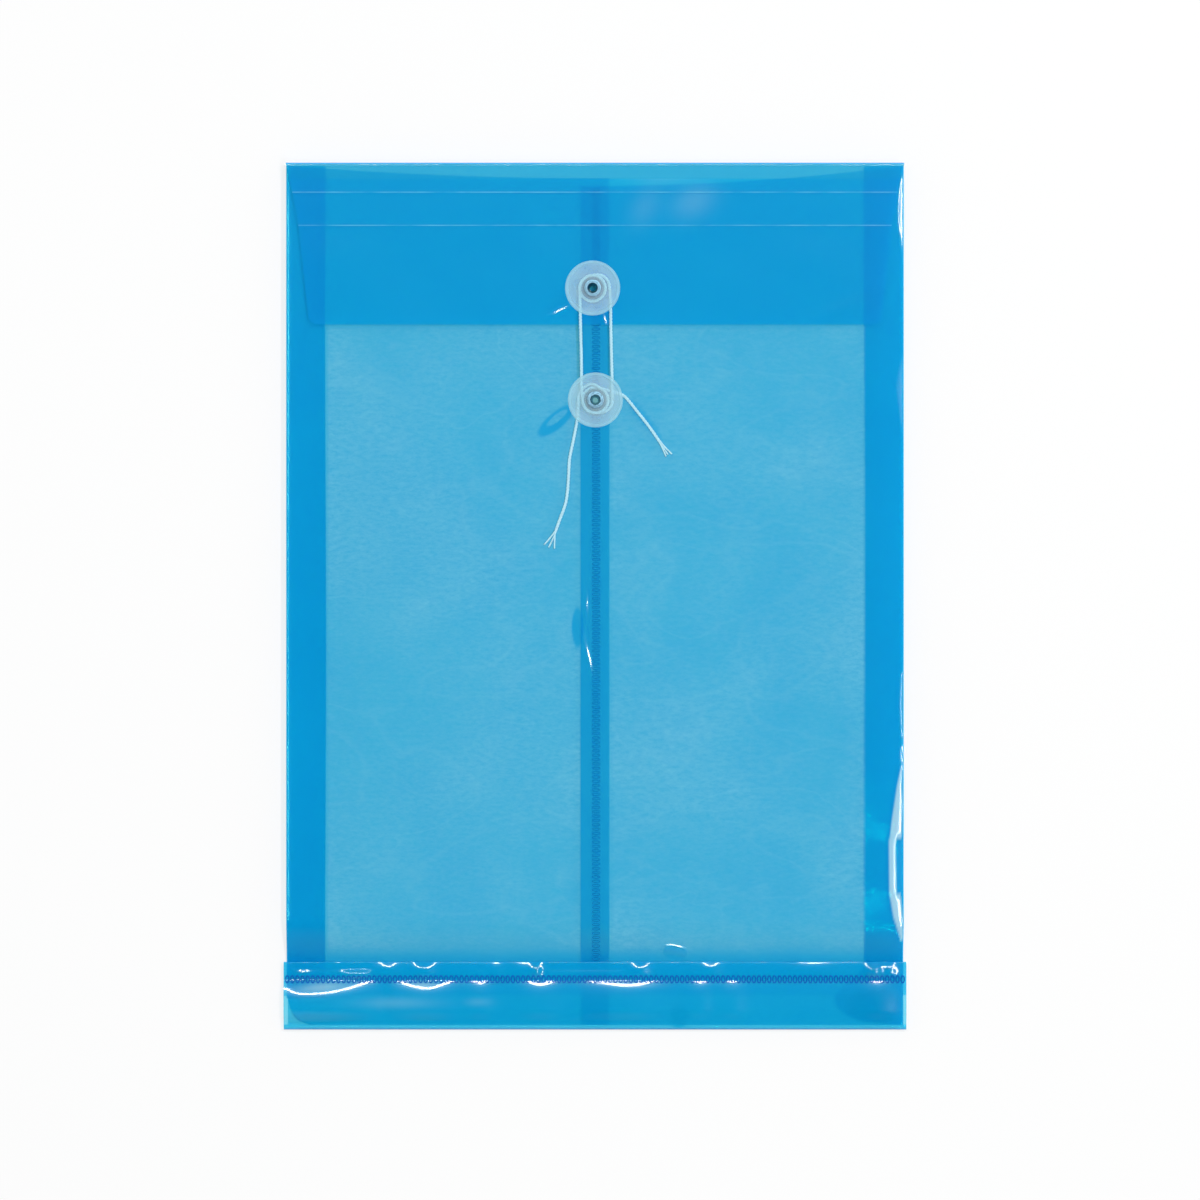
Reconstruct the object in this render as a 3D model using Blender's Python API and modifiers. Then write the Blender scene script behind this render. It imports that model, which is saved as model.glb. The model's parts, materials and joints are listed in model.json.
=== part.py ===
"""A string-and-button file folder of clear blue PVC film, lying on its back with its front up.

X runs across the folder, Y up it towards the flap, Z out of its front. The origin is on the
surface it lies on, under the middle of the folder. Lengths are in metres.
"""

import math

import bpy
import bmesh
from mathutils import Vector

FOLDER_WIDTH = 0.235
FOLDER_LENGTH = 0.330
FILM = 0.0002
GAP = 0.0003
POCKET_HEIGHT = 0.0056

GUSSET_DEPTH = 0.015
GUSSET_CREASE_GAP = 0.0005
SEAM_LAP = 0.0107
MOUTH_DROP_AT_SIDES = 0.003
LEFT_MOUTH_DROP_AT_SEAM = 0.006
RIGHT_MOUTH_DROP_AT_SEAM = 0.009

HEM_HEIGHT = 0.026
HEM_TURN_UNDER = 0.0126
HEM_OVERHANG = 0.001
HEM_CREASE_RADIUS = 0.00025
FRONT_RISE_LENGTH = 0.019

FLAP_LENGTH = 0.0617
FIRST_SCORE_FROM_FOLD = 0.0114
SECOND_SCORE_FROM_FOLD = 0.024
FLAP_INSET_AT_FIRST_SCORE = 0.0025
FLAP_INSET_AT_SECOND_SCORE = 0.0048
FLAP_INSET_AT_EDGE = 0.0089
FLAP_CORNER_RADIUS = 0.003
FLAP_LIFT = 0.0011

FLAP_BUTTON_X = -0.0009
FLAP_BUTTON_FROM_FOLD = 0.048
POCKET_BUTTON_X = 0.00015
POCKET_BUTTON_FROM_FOLD = 0.0904

DISC_RADIUS = 0.01045
DISC_THICKNESS = 0.0011
DISC_RIM_WIDTH = 0.0012
DISC_DISH = 0.0003
HUB_RADIUS = 0.004
HUB_HEIGHT = 0.0028
EYELET_BORE_RADIUS = 0.0018
EYELET_WALL = 0.0003
EYELET_FLANGE_WIDTH = 0.001
EYELET_FLANGE_THICKNESS = 0.0003

STRING_RADIUS = 0.00055
STRING_SELF_GAP = 0.0005
POINTS_PER_TURN = 24

HALF_WIDTH = FOLDER_WIDTH / 2
FOLD_Y = FOLDER_LENGTH / 2
BOTTOM_Y = -FOLDER_LENGTH / 2

BACK_TOP = FILM
LEFT_FRONT_BOTTOM = BACK_TOP + POCKET_HEIGHT
LEFT_FRONT_TOP = LEFT_FRONT_BOTTOM + FILM
RIGHT_FRONT_BOTTOM = LEFT_FRONT_TOP + GAP
RIGHT_FRONT_TOP = RIGHT_FRONT_BOTTOM + FILM
FLAP_BOTTOM = RIGHT_FRONT_TOP + FLAP_LIFT
FLAP_TOP = FLAP_BOTTOM + FILM

LAYER = FILM + GAP
HEM_RETURN_Z = 5 * LAYER + FILM / 2
HEM_TOP_Z = HEM_RETURN_Z + 2 * HEM_CREASE_RADIUS
HEM_EDGE_Y = BOTTOM_Y + HEM_HEIGHT
HEM_FOLD_RADIUS = (HEM_TOP_Z - FILM / 2) / 2
BACK_LOW_Y = BOTTOM_Y + FILM / 2 + HEM_FOLD_RADIUS + GAP
RISE_TOP_Y = HEM_EDGE_Y + FRONT_RISE_LENGTH
MOUTH_AXIS = Vector((0, RISE_TOP_Y + GAP / 2, LEFT_FRONT_BOTTOM + FILM / 2))

SPINE_Y = FOLD_Y - FILM / 2
SPINE_LOW_Z = FILM + GAP
SPINE_HIGH_Z = FLAP_BOTTOM - GAP
LOWER_FOLD_AXIS = Vector((0, SPINE_Y, FILM / 2))
UPPER_FOLD_AXIS = Vector((0, SPINE_Y, FLAP_BOTTOM + FILM / 2))
FIRST_SCORE_AXIS = Vector((0, FOLD_Y - FIRST_SCORE_FROM_FOLD, FLAP_BOTTOM + FILM / 2))
SECOND_SCORE_AXIS = Vector((0, FOLD_Y - SECOND_SCORE_FROM_FOLD, FLAP_BOTTOM + FILM / 2))

EYELET_OUTER_RADIUS = EYELET_BORE_RADIUS + EYELET_WALL
EYELET_HOLE_RADIUS = EYELET_OUTER_RADIUS + GAP
FLAP_BUTTON = Vector((FLAP_BUTTON_X, FOLD_Y - FLAP_BUTTON_FROM_FOLD, FLAP_TOP))
POCKET_BUTTON = Vector((POCKET_BUTTON_X, FOLD_Y - POCKET_BUTTON_FROM_FOLD, RIGHT_FRONT_TOP))

STRING_PITCH = 2 * STRING_RADIUS + STRING_SELF_GAP
INNER_TURN_RADIUS = HUB_RADIUS + GAP + STRING_RADIUS
OUTER_TURN_RADIUS = INNER_TURN_RADIUS + STRING_PITCH
LOW_TURN = GAP + STRING_RADIUS
HIGH_TURN = LOW_TURN + STRING_PITCH


def clear_scene():
    """Start from an empty scene."""
    for old in list(bpy.data.objects):
        bpy.data.objects.remove(old, do_unlink=True)


def new_material(name, colour, roughness, metallic=0.0, alpha=1.0):
    """A Principled material for one kind of piece."""
    material = bpy.data.materials.new(name)
    material.use_nodes = True
    shader = material.node_tree.nodes["Principled BSDF"]
    shader.inputs["Base Color"].default_value = (*colour, 1.0)
    shader.inputs["Roughness"].default_value = roughness
    shader.inputs["Metallic"].default_value = metallic
    shader.inputs["Alpha"].default_value = alpha
    return material


class Folder:
    """Collects the folder's pieces, places each one and gives it its material."""

    def __init__(self):
        self.collection = bpy.data.collections.new("string_file_folder")
        bpy.context.scene.collection.children.link(self.collection)
        self.film = new_material("blue_pvc_film", (0.05, 0.42, 0.72), 0.12, alpha=0.55)
        self.frosted = new_material("frosted_plastic", (0.62, 0.80, 0.88), 0.35, alpha=0.8)
        self.nickel = new_material("nickel_plate", (0.66, 0.66, 0.64), 0.25, metallic=1.0)
        self.cotton = new_material("white_cotton", (0.86, 0.93, 0.96), 0.9)

    def pivot(self, name, at, parent=None):
        """An empty on a joint's axis, which carries the pieces that turn about it."""
        empty = bpy.data.objects.new(name, None)
        empty.empty_display_size = 0.01
        self.collection.objects.link(empty)
        empty["place"] = tuple(at)
        self.put(empty, at, parent)
        return empty

    def put(self, piece, at, parent=None):
        """Place a piece at a point of the folder, under the empty that carries it."""
        piece.parent = parent
        base = Vector(parent["place"]) if parent else Vector((0, 0, 0))
        piece.location = Vector(at) - base

    def add(self, name, data, material, at, parent=None):
        """Make a named piece from its mesh or curve."""
        piece = bpy.data.objects.new(name, data)
        data.materials.append(material)
        self.collection.objects.link(piece)
        self.put(piece, at, parent)
        return piece


def flat_film(folder, name, outlines, middle_z, at, parent=None):
    """A flat piece of film from its outline, and the outlines of its holes, in the folder's X and Y."""
    curve = bpy.data.curves.new(name, "CURVE")
    curve.dimensions = "2D"
    curve.fill_mode = "BOTH"
    curve.extrude = FILM / 2
    for outline in outlines:
        spline = curve.splines.new("POLY")
        spline.points.add(len(outline) - 1)
        for point, (x, y) in zip(spline.points, outline):
            point.co = (x - at[0], y - at[1], 0, 1)
        spline.use_cyclic_u = True
    return folder.add(name, curve, folder.film, (at[0], at[1], middle_z), parent)


def bent_film(folder, name, rows, at, parent=None):
    """A piece of film through rows of points, given at the middle of its thickness."""
    mesh = bpy.data.meshes.new(name)
    shape = bmesh.new()
    grid = [[shape.verts.new(Vector(point) - Vector(at)) for point in row] for row in rows]
    for low, high in zip(grid, grid[1:]):
        for i in range(len(low) - 1):
            shape.faces.new((low[i], low[i + 1], high[i + 1], high[i]))
    shape.to_mesh(mesh)
    shape.free()
    piece = folder.add(name, mesh, folder.film, at, parent)
    solidify = piece.modifiers.new("thickness", "SOLIDIFY")
    solidify.thickness = FILM
    solidify.offset = 0.0
    solidify.use_even_offset = True
    return piece


def turned(folder, name, profile, steps, material, at, parent=None):
    """A ring turned about Z from its closed profile of radius and height, outer side downwards."""
    mesh = bpy.data.meshes.new(name)
    count = len(profile)
    edges = [(i, (i + 1) % count) for i in range(count)]
    mesh.from_pydata([(radius, 0, height) for radius, height in profile], edges, [])
    piece = folder.add(name, mesh, material, at, parent)
    screw = piece.modifiers.new("turn", "SCREW")
    screw.axis = "Z"
    screw.steps = steps
    screw.render_steps = steps
    screw.merge_threshold = 0.00001
    screw.use_smooth_shade = True
    return piece


def rectangle(low_x, high_x, low_y, high_y):
    """The corners of a rectangle, counter-clockwise."""
    return [(low_x, low_y), (high_x, low_y), (high_x, high_y), (low_x, high_y)]


def circle(centre, radius, count=32):
    """Points round a circle."""
    steps = [2 * math.pi * i / count for i in range(count)]
    return [(centre[0] + radius * math.cos(a), centre[1] + radius * math.sin(a)) for a in steps]


def arc(centre, radius, start, end, count):
    """Points of an arc in a plane, its angles in degrees."""
    angles = [math.radians(start + (end - start) * i / count) for i in range(count + 1)]
    return [(centre[0] + radius * math.cos(a), centre[1] + radius * math.sin(a)) for a in angles]


def mouth_edge(seam_drop, from_x, to_x, count=12):
    """The curved top edge of one half of the front, lowest at the seam."""
    points = []
    for i in range(count + 1):
        x = from_x + (to_x - from_x) * i / count
        share = (x / HALF_WIDTH) ** 2
        drop = seam_drop + (MOUTH_DROP_AT_SIDES - seam_drop) * share
        points.append((x, FOLD_Y - drop))
    return points


def make_back(folder):
    """The back of the folder, which everything else is folded from."""
    outline = rectangle(-HALF_WIDTH, HALF_WIDTH, BACK_LOW_Y, SPINE_Y - FILM / 2 - GAP)
    flat_film(folder, "back_panel", [outline], FILM / 2, (0, 0, 0))


def leaf_rows(side, outer_heights, inner_heights, stations):
    """Rows of points across one leaf of a gusset, one row at each station up the folder."""
    rows = []
    for y, outer_z, inner_z in zip(stations, outer_heights, inner_heights):
        outer = (side * (HALF_WIDTH - FILM / 2), y, outer_z)
        inner = (side * (HALF_WIDTH - GUSSET_DEPTH), y, inner_z)
        row = (outer, inner) if side > 0 else (inner, outer)
        rows.append(row)
    return rows


def make_gussets(folder, front):
    """The pleats at both sides, folded inwards between the back and the front."""
    rear_flat = LAYER + FILM / 2
    front_flat = 2 * LAYER + FILM / 2
    top_y = FOLD_Y - MOUTH_DROP_AT_SIDES
    middle = BACK_TOP + POCKET_HEIGHT / 2
    rear_crease = middle - (GUSSET_CREASE_GAP + FILM) / 2
    front_crease = middle + (GUSSET_CREASE_GAP + FILM) / 2
    for word, side, front_bottom in (
        ("left", -1, LEFT_FRONT_BOTTOM),
        ("right", 1, RIGHT_FRONT_BOTTOM),
    ):
        stations = (BACK_LOW_Y, HEM_EDGE_Y, RISE_TOP_Y, top_y)
        outer = (rear_flat,) * 4
        inner = (rear_flat, rear_flat, rear_crease, rear_crease)
        rows = leaf_rows(side, outer, inner, stations)
        bent_film(folder, f"{word}_gusset_rear_leaf", rows, (0, 0, 0))

        high = front_bottom - GAP - FILM / 2
        rows = leaf_rows(
            side,
            (front_flat, front_flat, high),
            (front_flat, front_flat, front_crease),
            (BACK_LOW_Y, HEM_EDGE_Y, RISE_TOP_Y),
        )
        bent_film(folder, f"{word}_gusset_front_foot", rows, (0, 0, 0))

        rows = leaf_rows(side, (high, high), (front_crease, front_crease), (RISE_TOP_Y + GAP, top_y))
        bent_film(folder, f"{word}_gusset_front_leaf", rows, MOUTH_AXIS, front)


def make_front(folder, front):
    """The front in two halves that lap down the middle, and their feet under the hem."""
    hole = circle(POCKET_BUTTON, EYELET_HOLE_RADIUS)
    low_y = RISE_TOP_Y + GAP
    lap = SEAM_LAP / 2
    left_edge = mouth_edge(LEFT_MOUTH_DROP_AT_SEAM, lap, -HALF_WIDTH)
    left = [(-HALF_WIDTH, low_y), (lap, low_y)] + left_edge
    flat_film(folder, "front_left_panel", [left, hole], LEFT_FRONT_BOTTOM + FILM / 2, MOUTH_AXIS, front)
    right_edge = mouth_edge(RIGHT_MOUTH_DROP_AT_SEAM, HALF_WIDTH, -lap)
    right = [(-lap, low_y), (HALF_WIDTH, low_y)] + right_edge
    flat_film(folder, "front_right_panel", [right, hole], RIGHT_FRONT_BOTTOM + FILM / 2, MOUTH_AXIS, front)

    for word, low_x, high_x, flat_z, high_z in (
        ("left", -HALF_WIDTH, lap, 3 * LAYER + FILM / 2, LEFT_FRONT_BOTTOM + FILM / 2),
        ("right", -lap, HALF_WIDTH, 4 * LAYER + FILM / 2, RIGHT_FRONT_BOTTOM + FILM / 2),
    ):
        line = ((BACK_LOW_Y, flat_z), (HEM_EDGE_Y, flat_z), (RISE_TOP_Y, high_z))
        rows = [[(low_x, y, z), (high_x, y, z)] for y, z in line]
        bent_film(folder, f"front_{word}_foot", rows, (0, 0, 0))


def make_hem(folder):
    """The film folded up from the back over the foot of the front, its edge turned under."""
    fold_y = BOTTOM_Y + FILM / 2 + HEM_FOLD_RADIUS
    line = arc((fold_y, FILM / 2 + HEM_FOLD_RADIUS), HEM_FOLD_RADIUS, -90, -270, 10)
    crease_y = HEM_EDGE_Y - FILM / 2 - HEM_CREASE_RADIUS
    line += arc((crease_y, HEM_TOP_Z - HEM_CREASE_RADIUS), HEM_CREASE_RADIUS, 90, -90, 6)
    line.append((HEM_EDGE_Y - HEM_TURN_UNDER, HEM_RETURN_Z))
    reach = HALF_WIDTH + HEM_OVERHANG
    rows = [[(-reach, y, z), (reach, y, z)] for y, z in line]
    bent_film(folder, "bottom_hem", rows, (0, 0, 0))


def make_flap(folder, spine_pivot, first_pivot, second_pivot, flap_pivot):
    """The flap, from the top fold down: the spine, two strips between creases, and the panel."""
    rows = [[(-HALF_WIDTH, SPINE_Y, z), (HALF_WIDTH, SPINE_Y, z)] for z in (SPINE_LOW_Z, SPINE_HIGH_Z)]
    bent_film(folder, "flap_spine", rows, LOWER_FOLD_AXIS, spine_pivot)

    middle_z = FLAP_BOTTOM + FILM / 2
    first_half = HALF_WIDTH - FLAP_INSET_AT_FIRST_SCORE
    second_half = HALF_WIDTH - FLAP_INSET_AT_SECOND_SCORE
    edge_half = HALF_WIDTH - FLAP_INSET_AT_EDGE
    half_gap = GAP / 2

    high_y = FOLD_Y
    low_y = FIRST_SCORE_AXIS.y + half_gap
    outline = [(-HALF_WIDTH, high_y), (-first_half, low_y), (first_half, low_y), (HALF_WIDTH, high_y)]
    flat_film(folder, "flap_first_strip", [outline], middle_z, UPPER_FOLD_AXIS, first_pivot)

    high_y = FIRST_SCORE_AXIS.y - half_gap
    low_y = SECOND_SCORE_AXIS.y + half_gap
    outline = [(-first_half, high_y), (-second_half, low_y), (second_half, low_y), (first_half, high_y)]
    flat_film(folder, "flap_second_strip", [outline], middle_z, FIRST_SCORE_AXIS, second_pivot)

    high_y = SECOND_SCORE_AXIS.y - half_gap
    low_y = FOLD_Y - FLAP_LENGTH
    radius = FLAP_CORNER_RADIUS
    left_corner = arc((-edge_half + radius, low_y + radius), radius, 180, 270, 6)
    right_corner = arc((edge_half - radius, low_y + radius), radius, 270, 360, 6)
    outline = [(-second_half, high_y)] + left_corner + right_corner + [(second_half, high_y)]
    hole = circle(FLAP_BUTTON, EYELET_HOLE_RADIUS)
    flat_film(folder, "flap_panel", [outline, hole], middle_z, SECOND_SCORE_AXIS, flap_pivot)


def make_button(folder, word, seat, film_depth, carrier, spin):
    """One button on its seat: a hub on the film, a disc on the hub and an eyelet through them all."""
    hub_low = GAP
    hub_high = hub_low + HUB_HEIGHT
    disc_low = hub_high + GAP
    disc_high = disc_low + DISC_THICKNESS
    bore = EYELET_HOLE_RADIUS
    soft = GAP / 2

    hub = [(bore, hub_high), (HUB_RADIUS - soft, hub_high), (HUB_RADIUS, hub_high - soft)]
    hub += [(HUB_RADIUS, hub_low + soft), (HUB_RADIUS - soft, hub_low), (bore, hub_low)]
    turned(folder, f"{word}_button_hub", hub, 48, folder.frosted, seat, spin)

    inner_rim = DISC_RADIUS - DISC_RIM_WIDTH
    disc_dish = disc_high - DISC_DISH
    disc = [(bore, disc_high), (HUB_RADIUS, disc_high), (HUB_RADIUS + DISC_DISH, disc_dish)]
    disc += [(inner_rim - DISC_DISH, disc_dish), (inner_rim, disc_high)]
    disc += [(DISC_RADIUS - DISC_DISH, disc_high), (DISC_RADIUS, disc_dish)]
    disc += [(DISC_RADIUS, disc_low + soft), (DISC_RADIUS - soft, disc_low), (bore, disc_low)]
    turned(folder, f"{word}_button_disc", disc, 64, folder.frosted, seat, spin)

    flange = EYELET_OUTER_RADIUS + EYELET_FLANGE_WIDTH
    top_low = disc_high + GAP
    top_high = top_low + EYELET_FLANGE_THICKNESS
    curl_high = -film_depth - GAP
    curl_low = curl_high - EYELET_FLANGE_THICKNESS
    eyelet = [(EYELET_BORE_RADIUS + soft, top_high), (flange - soft, top_high), (flange, top_low)]
    eyelet += [(EYELET_OUTER_RADIUS, top_low), (EYELET_OUTER_RADIUS, curl_high), (flange, curl_high)]
    eyelet += [(flange - soft, curl_low), (EYELET_BORE_RADIUS + soft, curl_low)]
    eyelet += [(EYELET_BORE_RADIUS, curl_low + soft), (EYELET_BORE_RADIUS, top_high - soft)]
    turned(folder, f"{word}_button_eyelet", eyelet, 40, folder.nickel, seat, carrier)


LEFT_TAIL = (
    (-0.01455, 0.0260, 0.0004),
    (-0.01326, 0.0296, 0.0004),
    (-0.01124, 0.0352, 0.0004),
    (-0.01048, 0.0398, 0.0004),
    (-0.01006, 0.0455, 0.0004),
    (-0.00968, 0.0521, 0.0004),
    (-0.00869, 0.0572, 0.0004),
    (-0.00745, 0.0633, 0.0007),
    (-0.00663, 0.0680, 0.00085),
)
LEFT_RUN = (
    (-0.00512, 0.0800, 0.00245),
    (-0.00512, 0.0850, 0.00255),
    (-0.00520, 0.0910, 0.0028),
    (-0.00535, 0.0980, 0.0031),
    (-0.00550, 0.1040, 0.0034),
    (-0.00562, 0.1100, 0.00365),
)
RIGHT_RUN = (
    (0.00590, 0.1110, 0.00215),
    (0.00600, 0.1040, 0.00215),
    (0.00615, 0.0970, 0.00225),
    (0.00630, 0.0900, 0.00240),
    (0.00645, 0.0840, 0.00245),
    (0.00655, 0.0790, 0.00245),
)
RIGHT_TAIL = (
    (0.00640, 0.0779, 0.00085),
    (0.01067, 0.0764, 0.00085),
    (0.01310, 0.0740, 0.00085),
    (0.01580, 0.0706, 0.00085),
    (0.02040, 0.0648, 0.00085),
    (0.02480, 0.0585, 0.00085),
)


def swing(share, start, end):
    """An angle that turns smoothly from start to end as share goes from 0 to 1."""
    share = min(max(share, 0.0), 1.0)
    share = share * share * (3 - 2 * share)
    return math.radians(start + (end - start) * share)


def turn(button, start, end, slot):
    """Points of a winding round a hub. The slot gives its radius and height at each angle in degrees."""
    count = max(2, round(abs(end - start) * POINTS_PER_TURN / 360))
    points = []
    for i in range(count + 1):
        degrees = start + (end - start) * i / count
        radius, height = slot(degrees)
        angle = math.radians(degrees)
        offset = Vector((radius * math.cos(angle), radius * math.sin(angle), height))
        points.append(Vector(button) + offset)
    return points


def left_strand_slot(degrees):
    """On the pocket's hub: high and close to the hub, then out and down past the right strand."""
    angle = swing((degrees - 425) / 60, 90, 0)
    return INNER_TURN_RADIUS + STRING_PITCH * math.cos(angle), LOW_TURN + STRING_PITCH * math.sin(angle)


def right_strand_slot(degrees):
    """On the pocket's hub: in from outside and under the left strand."""
    angle = swing(-degrees / 80, 0, 90)
    return INNER_TURN_RADIUS + STRING_PITCH * math.cos(angle), HIGH_TURN - STRING_PITCH * math.sin(angle)


def flap_hub_slot(degrees):
    """On the flap's hub: a high turn, a low turn under it, and out to the right strand."""
    drop = swing((180 - degrees - 200) / 110, 0, 180)
    height = LOW_TURN + STRING_PITCH * (1 + math.cos(drop)) / 2
    leave = swing((180 - degrees - 440) / 90, 0, 90)
    return INNER_TURN_RADIUS + (OUTER_TURN_RADIUS - INNER_TURN_RADIUS) * math.sin(leave), height


def string_route():
    """The string's route from the end of its left tail to the end of its right tail."""
    base = RIGHT_FRONT_TOP
    route = [Vector((x, y, base + z)) for x, y, z in LEFT_TAIL]
    route += turn(POCKET_BUTTON, 540, 180, left_strand_slot)
    route += [Vector((x, y, base + z)) for x, y, z in LEFT_RUN]
    route += turn(FLAP_BUTTON, 180, -360, flap_hub_slot)
    route += [Vector((x, y, base + z)) for x, y, z in RIGHT_RUN]
    route += turn(POCKET_BUTTON, 0, -287, right_strand_slot)
    route += [Vector((x, y, base + z)) for x, y, z in RIGHT_TAIL]
    return route


def smooth_curve(route, spacing):
    """Points at even spacing on a smooth curve through the route's points."""
    ends = [2 * route[0] - route[1]] + route + [2 * route[-1] - route[-2]]
    fine = []
    for before, start, end, after in zip(ends, ends[1:], ends[2:], ends[3:]):
        knots = [0.0]
        for a, b in ((before, start), (start, end), (end, after)):
            knots.append(knots[-1] + math.sqrt((b - a).length))
        for i in range(12):
            t = knots[1] + (knots[2] - knots[1]) * i / 12
            a1 = before.lerp(start, (t - knots[0]) / (knots[1] - knots[0]))
            a2 = start.lerp(end, (t - knots[1]) / (knots[2] - knots[1]))
            a3 = end.lerp(after, (t - knots[2]) / (knots[3] - knots[2]))
            b1 = a1.lerp(a2, (t - knots[0]) / (knots[2] - knots[0]))
            b2 = a2.lerp(a3, (t - knots[1]) / (knots[3] - knots[1]))
            fine.append(b1.lerp(b2, (t - knots[1]) / (knots[2] - knots[1])))
    fine.append(route[-1])

    lengths = [0.0]
    for a, b in zip(fine, fine[1:]):
        lengths.append(lengths[-1] + (b - a).length)
    count = round(lengths[-1] / spacing)
    points = []
    at = 0
    for i in range(count + 1):
        along = lengths[-1] * i / count
        while at < len(lengths) - 2 and lengths[at + 1] < along:
            at += 1
        share = (along - lengths[at]) / (lengths[at + 1] - lengths[at])
        points.append(fine[at].lerp(fine[at + 1], share))
    return points, lengths[-1]


def least_gap(points, length):
    """The least distance between the string's surface and itself, away from its own neighbourhood."""
    step = length / (len(points) - 1)
    skip = math.ceil(3 * STRING_PITCH / step)
    least = math.inf
    for i, a in enumerate(points):
        for j in range(i + skip, len(points) - 1):
            b, c = points[j], points[j + 1]
            along = max(0.0, min(1.0, (a - b).dot(c - b) / (c - b).length_squared))
            least = min(least, (a - b.lerp(c, along)).length)
    return least - 2 * STRING_RADIUS


def make_string(folder, carrier):
    """The string, one unbroken tube wound round both hubs."""
    spacing = 2 * math.pi * INNER_TURN_RADIUS / POINTS_PER_TURN
    points, length = smooth_curve(string_route(), spacing)
    curve = bpy.data.curves.new("string", "CURVE")
    curve.dimensions = "3D"
    curve.bevel_depth = STRING_RADIUS
    curve.bevel_resolution = 1
    curve.use_fill_caps = True
    spline = curve.splines.new("POLY")
    spline.points.add(len(points) - 1)
    for target, point in zip(spline.points, points):
        target.co = (*(point - SECOND_SCORE_AXIS), 1)
    folder.add("string", curve, folder.cotton, SECOND_SCORE_AXIS, carrier)
    print(f"string: {length * 1000:.1f} mm long, least gap to itself {least_gap(points, length) * 1000:.2f} mm")


def main():
    """Build the folder."""
    clear_scene()
    folder = Folder()
    front = folder.pivot("mouth_pivot", MOUTH_AXIS)
    spine = folder.pivot("lower_fold_pivot", LOWER_FOLD_AXIS)
    first = folder.pivot("upper_fold_pivot", UPPER_FOLD_AXIS, spine)
    second = folder.pivot("first_score_pivot", FIRST_SCORE_AXIS, first)
    flap = folder.pivot("second_score_pivot", SECOND_SCORE_AXIS, second)
    pocket_spin = folder.pivot("pocket_button_pivot", POCKET_BUTTON, front)
    flap_spin = folder.pivot("flap_button_pivot", FLAP_BUTTON, flap)

    make_back(folder)
    make_gussets(folder, front)
    make_front(folder, front)
    make_hem(folder)
    make_flap(folder, spine, first, second, flap)
    make_button(folder, "pocket", POCKET_BUTTON, RIGHT_FRONT_TOP - LEFT_FRONT_BOTTOM, front, pocket_spin)
    make_button(folder, "flap", FLAP_BUTTON, FILM, flap, flap_spin)
    make_string(folder, flap)


main()
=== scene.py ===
"""Looks of the string file folder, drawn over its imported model.

X runs across the folder, Y up it towards the flap, Z out of its front. Lengths are in metres, but ovals,
puffs, edge rolls, corner radii and the string's points are written in millimetres and turned to metres in use.
"""

import json
import logging
import math
from collections.abc import Callable
from dataclasses import dataclass, field
from enum import Enum

import bpy
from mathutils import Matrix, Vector


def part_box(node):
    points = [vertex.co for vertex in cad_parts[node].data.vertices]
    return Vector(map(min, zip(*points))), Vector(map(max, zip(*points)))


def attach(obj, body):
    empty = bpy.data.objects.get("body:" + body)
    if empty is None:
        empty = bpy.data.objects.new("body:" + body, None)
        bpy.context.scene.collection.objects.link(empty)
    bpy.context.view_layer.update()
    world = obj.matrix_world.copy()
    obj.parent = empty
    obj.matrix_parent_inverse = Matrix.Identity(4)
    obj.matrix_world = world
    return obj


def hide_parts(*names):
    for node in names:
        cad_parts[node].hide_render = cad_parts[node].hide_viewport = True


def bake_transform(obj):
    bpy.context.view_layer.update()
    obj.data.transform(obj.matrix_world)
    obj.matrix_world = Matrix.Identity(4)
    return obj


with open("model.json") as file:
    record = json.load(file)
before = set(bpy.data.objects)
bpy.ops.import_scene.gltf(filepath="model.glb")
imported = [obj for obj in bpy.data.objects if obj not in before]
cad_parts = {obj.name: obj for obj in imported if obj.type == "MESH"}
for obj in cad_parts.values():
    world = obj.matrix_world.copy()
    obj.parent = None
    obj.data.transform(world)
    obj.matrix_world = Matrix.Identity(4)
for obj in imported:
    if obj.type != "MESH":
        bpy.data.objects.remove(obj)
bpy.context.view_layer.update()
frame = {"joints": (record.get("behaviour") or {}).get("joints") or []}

log = logging.getLogger("string_file_folder")
MM = 0.001
CLING = "cling"
AIR = "air"
PALE_MARK = "blush"
THICK = "thick"
OverPlaces = Callable[[float, float], float]
Triple = tuple[float, float, float]


def linear(hex_colour: str) -> tuple[float, float, float, float]:
    """Turn an sRGB hex colour to Blender's linear colour.

    Args:
        hex_colour: The colour as "#RRGGBB".

    Returns:
        Linear red, green and blue, and an alpha of 1.
    """
    channels = []
    for start in (1, 3, 5):
        value = int(hex_colour[start : start + 2], 16) / 255
        channels.append(value / 12.92 if value <= 0.04045 else ((value + 0.055) / 1.055) ** 2.4)
    return (*channels, 1.0)


def add_node(tree: bpy.types.NodeTree, kind: str, values: dict[str | int, object]) -> bpy.types.Node:
    """Add one node to a tree, with its settings and links.

    Args:
        tree: The tree that gets the node.
        kind: The node's Blender type, after the words ShaderNode.
        values: What each property or input is set to, or the node or output socket linked to it.

    Returns:
        The new node.
    """
    node = tree.nodes.new("ShaderNode" + kind)
    for name, value in values.items():
        if isinstance(value, bpy.types.Node):
            value = value.outputs[0]
        if isinstance(value, bpy.types.NodeSocket):
            tree.links.new(value, node.inputs[name])
        elif isinstance(name, str) and hasattr(node, name):
            setattr(node, name, value)
        else:
            node.inputs[name].default_value = value
    return node


def new_tree(name: str) -> tuple[bpy.types.Material, bpy.types.NodeTree]:
    """Make a material with an empty node tree.

    Args:
        name: The material's name.

    Returns:
        The material and its tree.
    """
    material = bpy.data.materials.new(name)
    material.use_nodes = True
    material.node_tree.nodes.clear()
    return material, material.node_tree


def smooth(share: float) -> float:
    """Ease a share from 0 to 1, held at both ends."""
    share = min(max(share, 0.0), 1.0)
    return share * share * (3 - 2 * share)


def mix(start: float, end: float, share: float) -> float:
    """Go from start to end as share goes from 0 to 1."""
    return start + (end - start) * share


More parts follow.
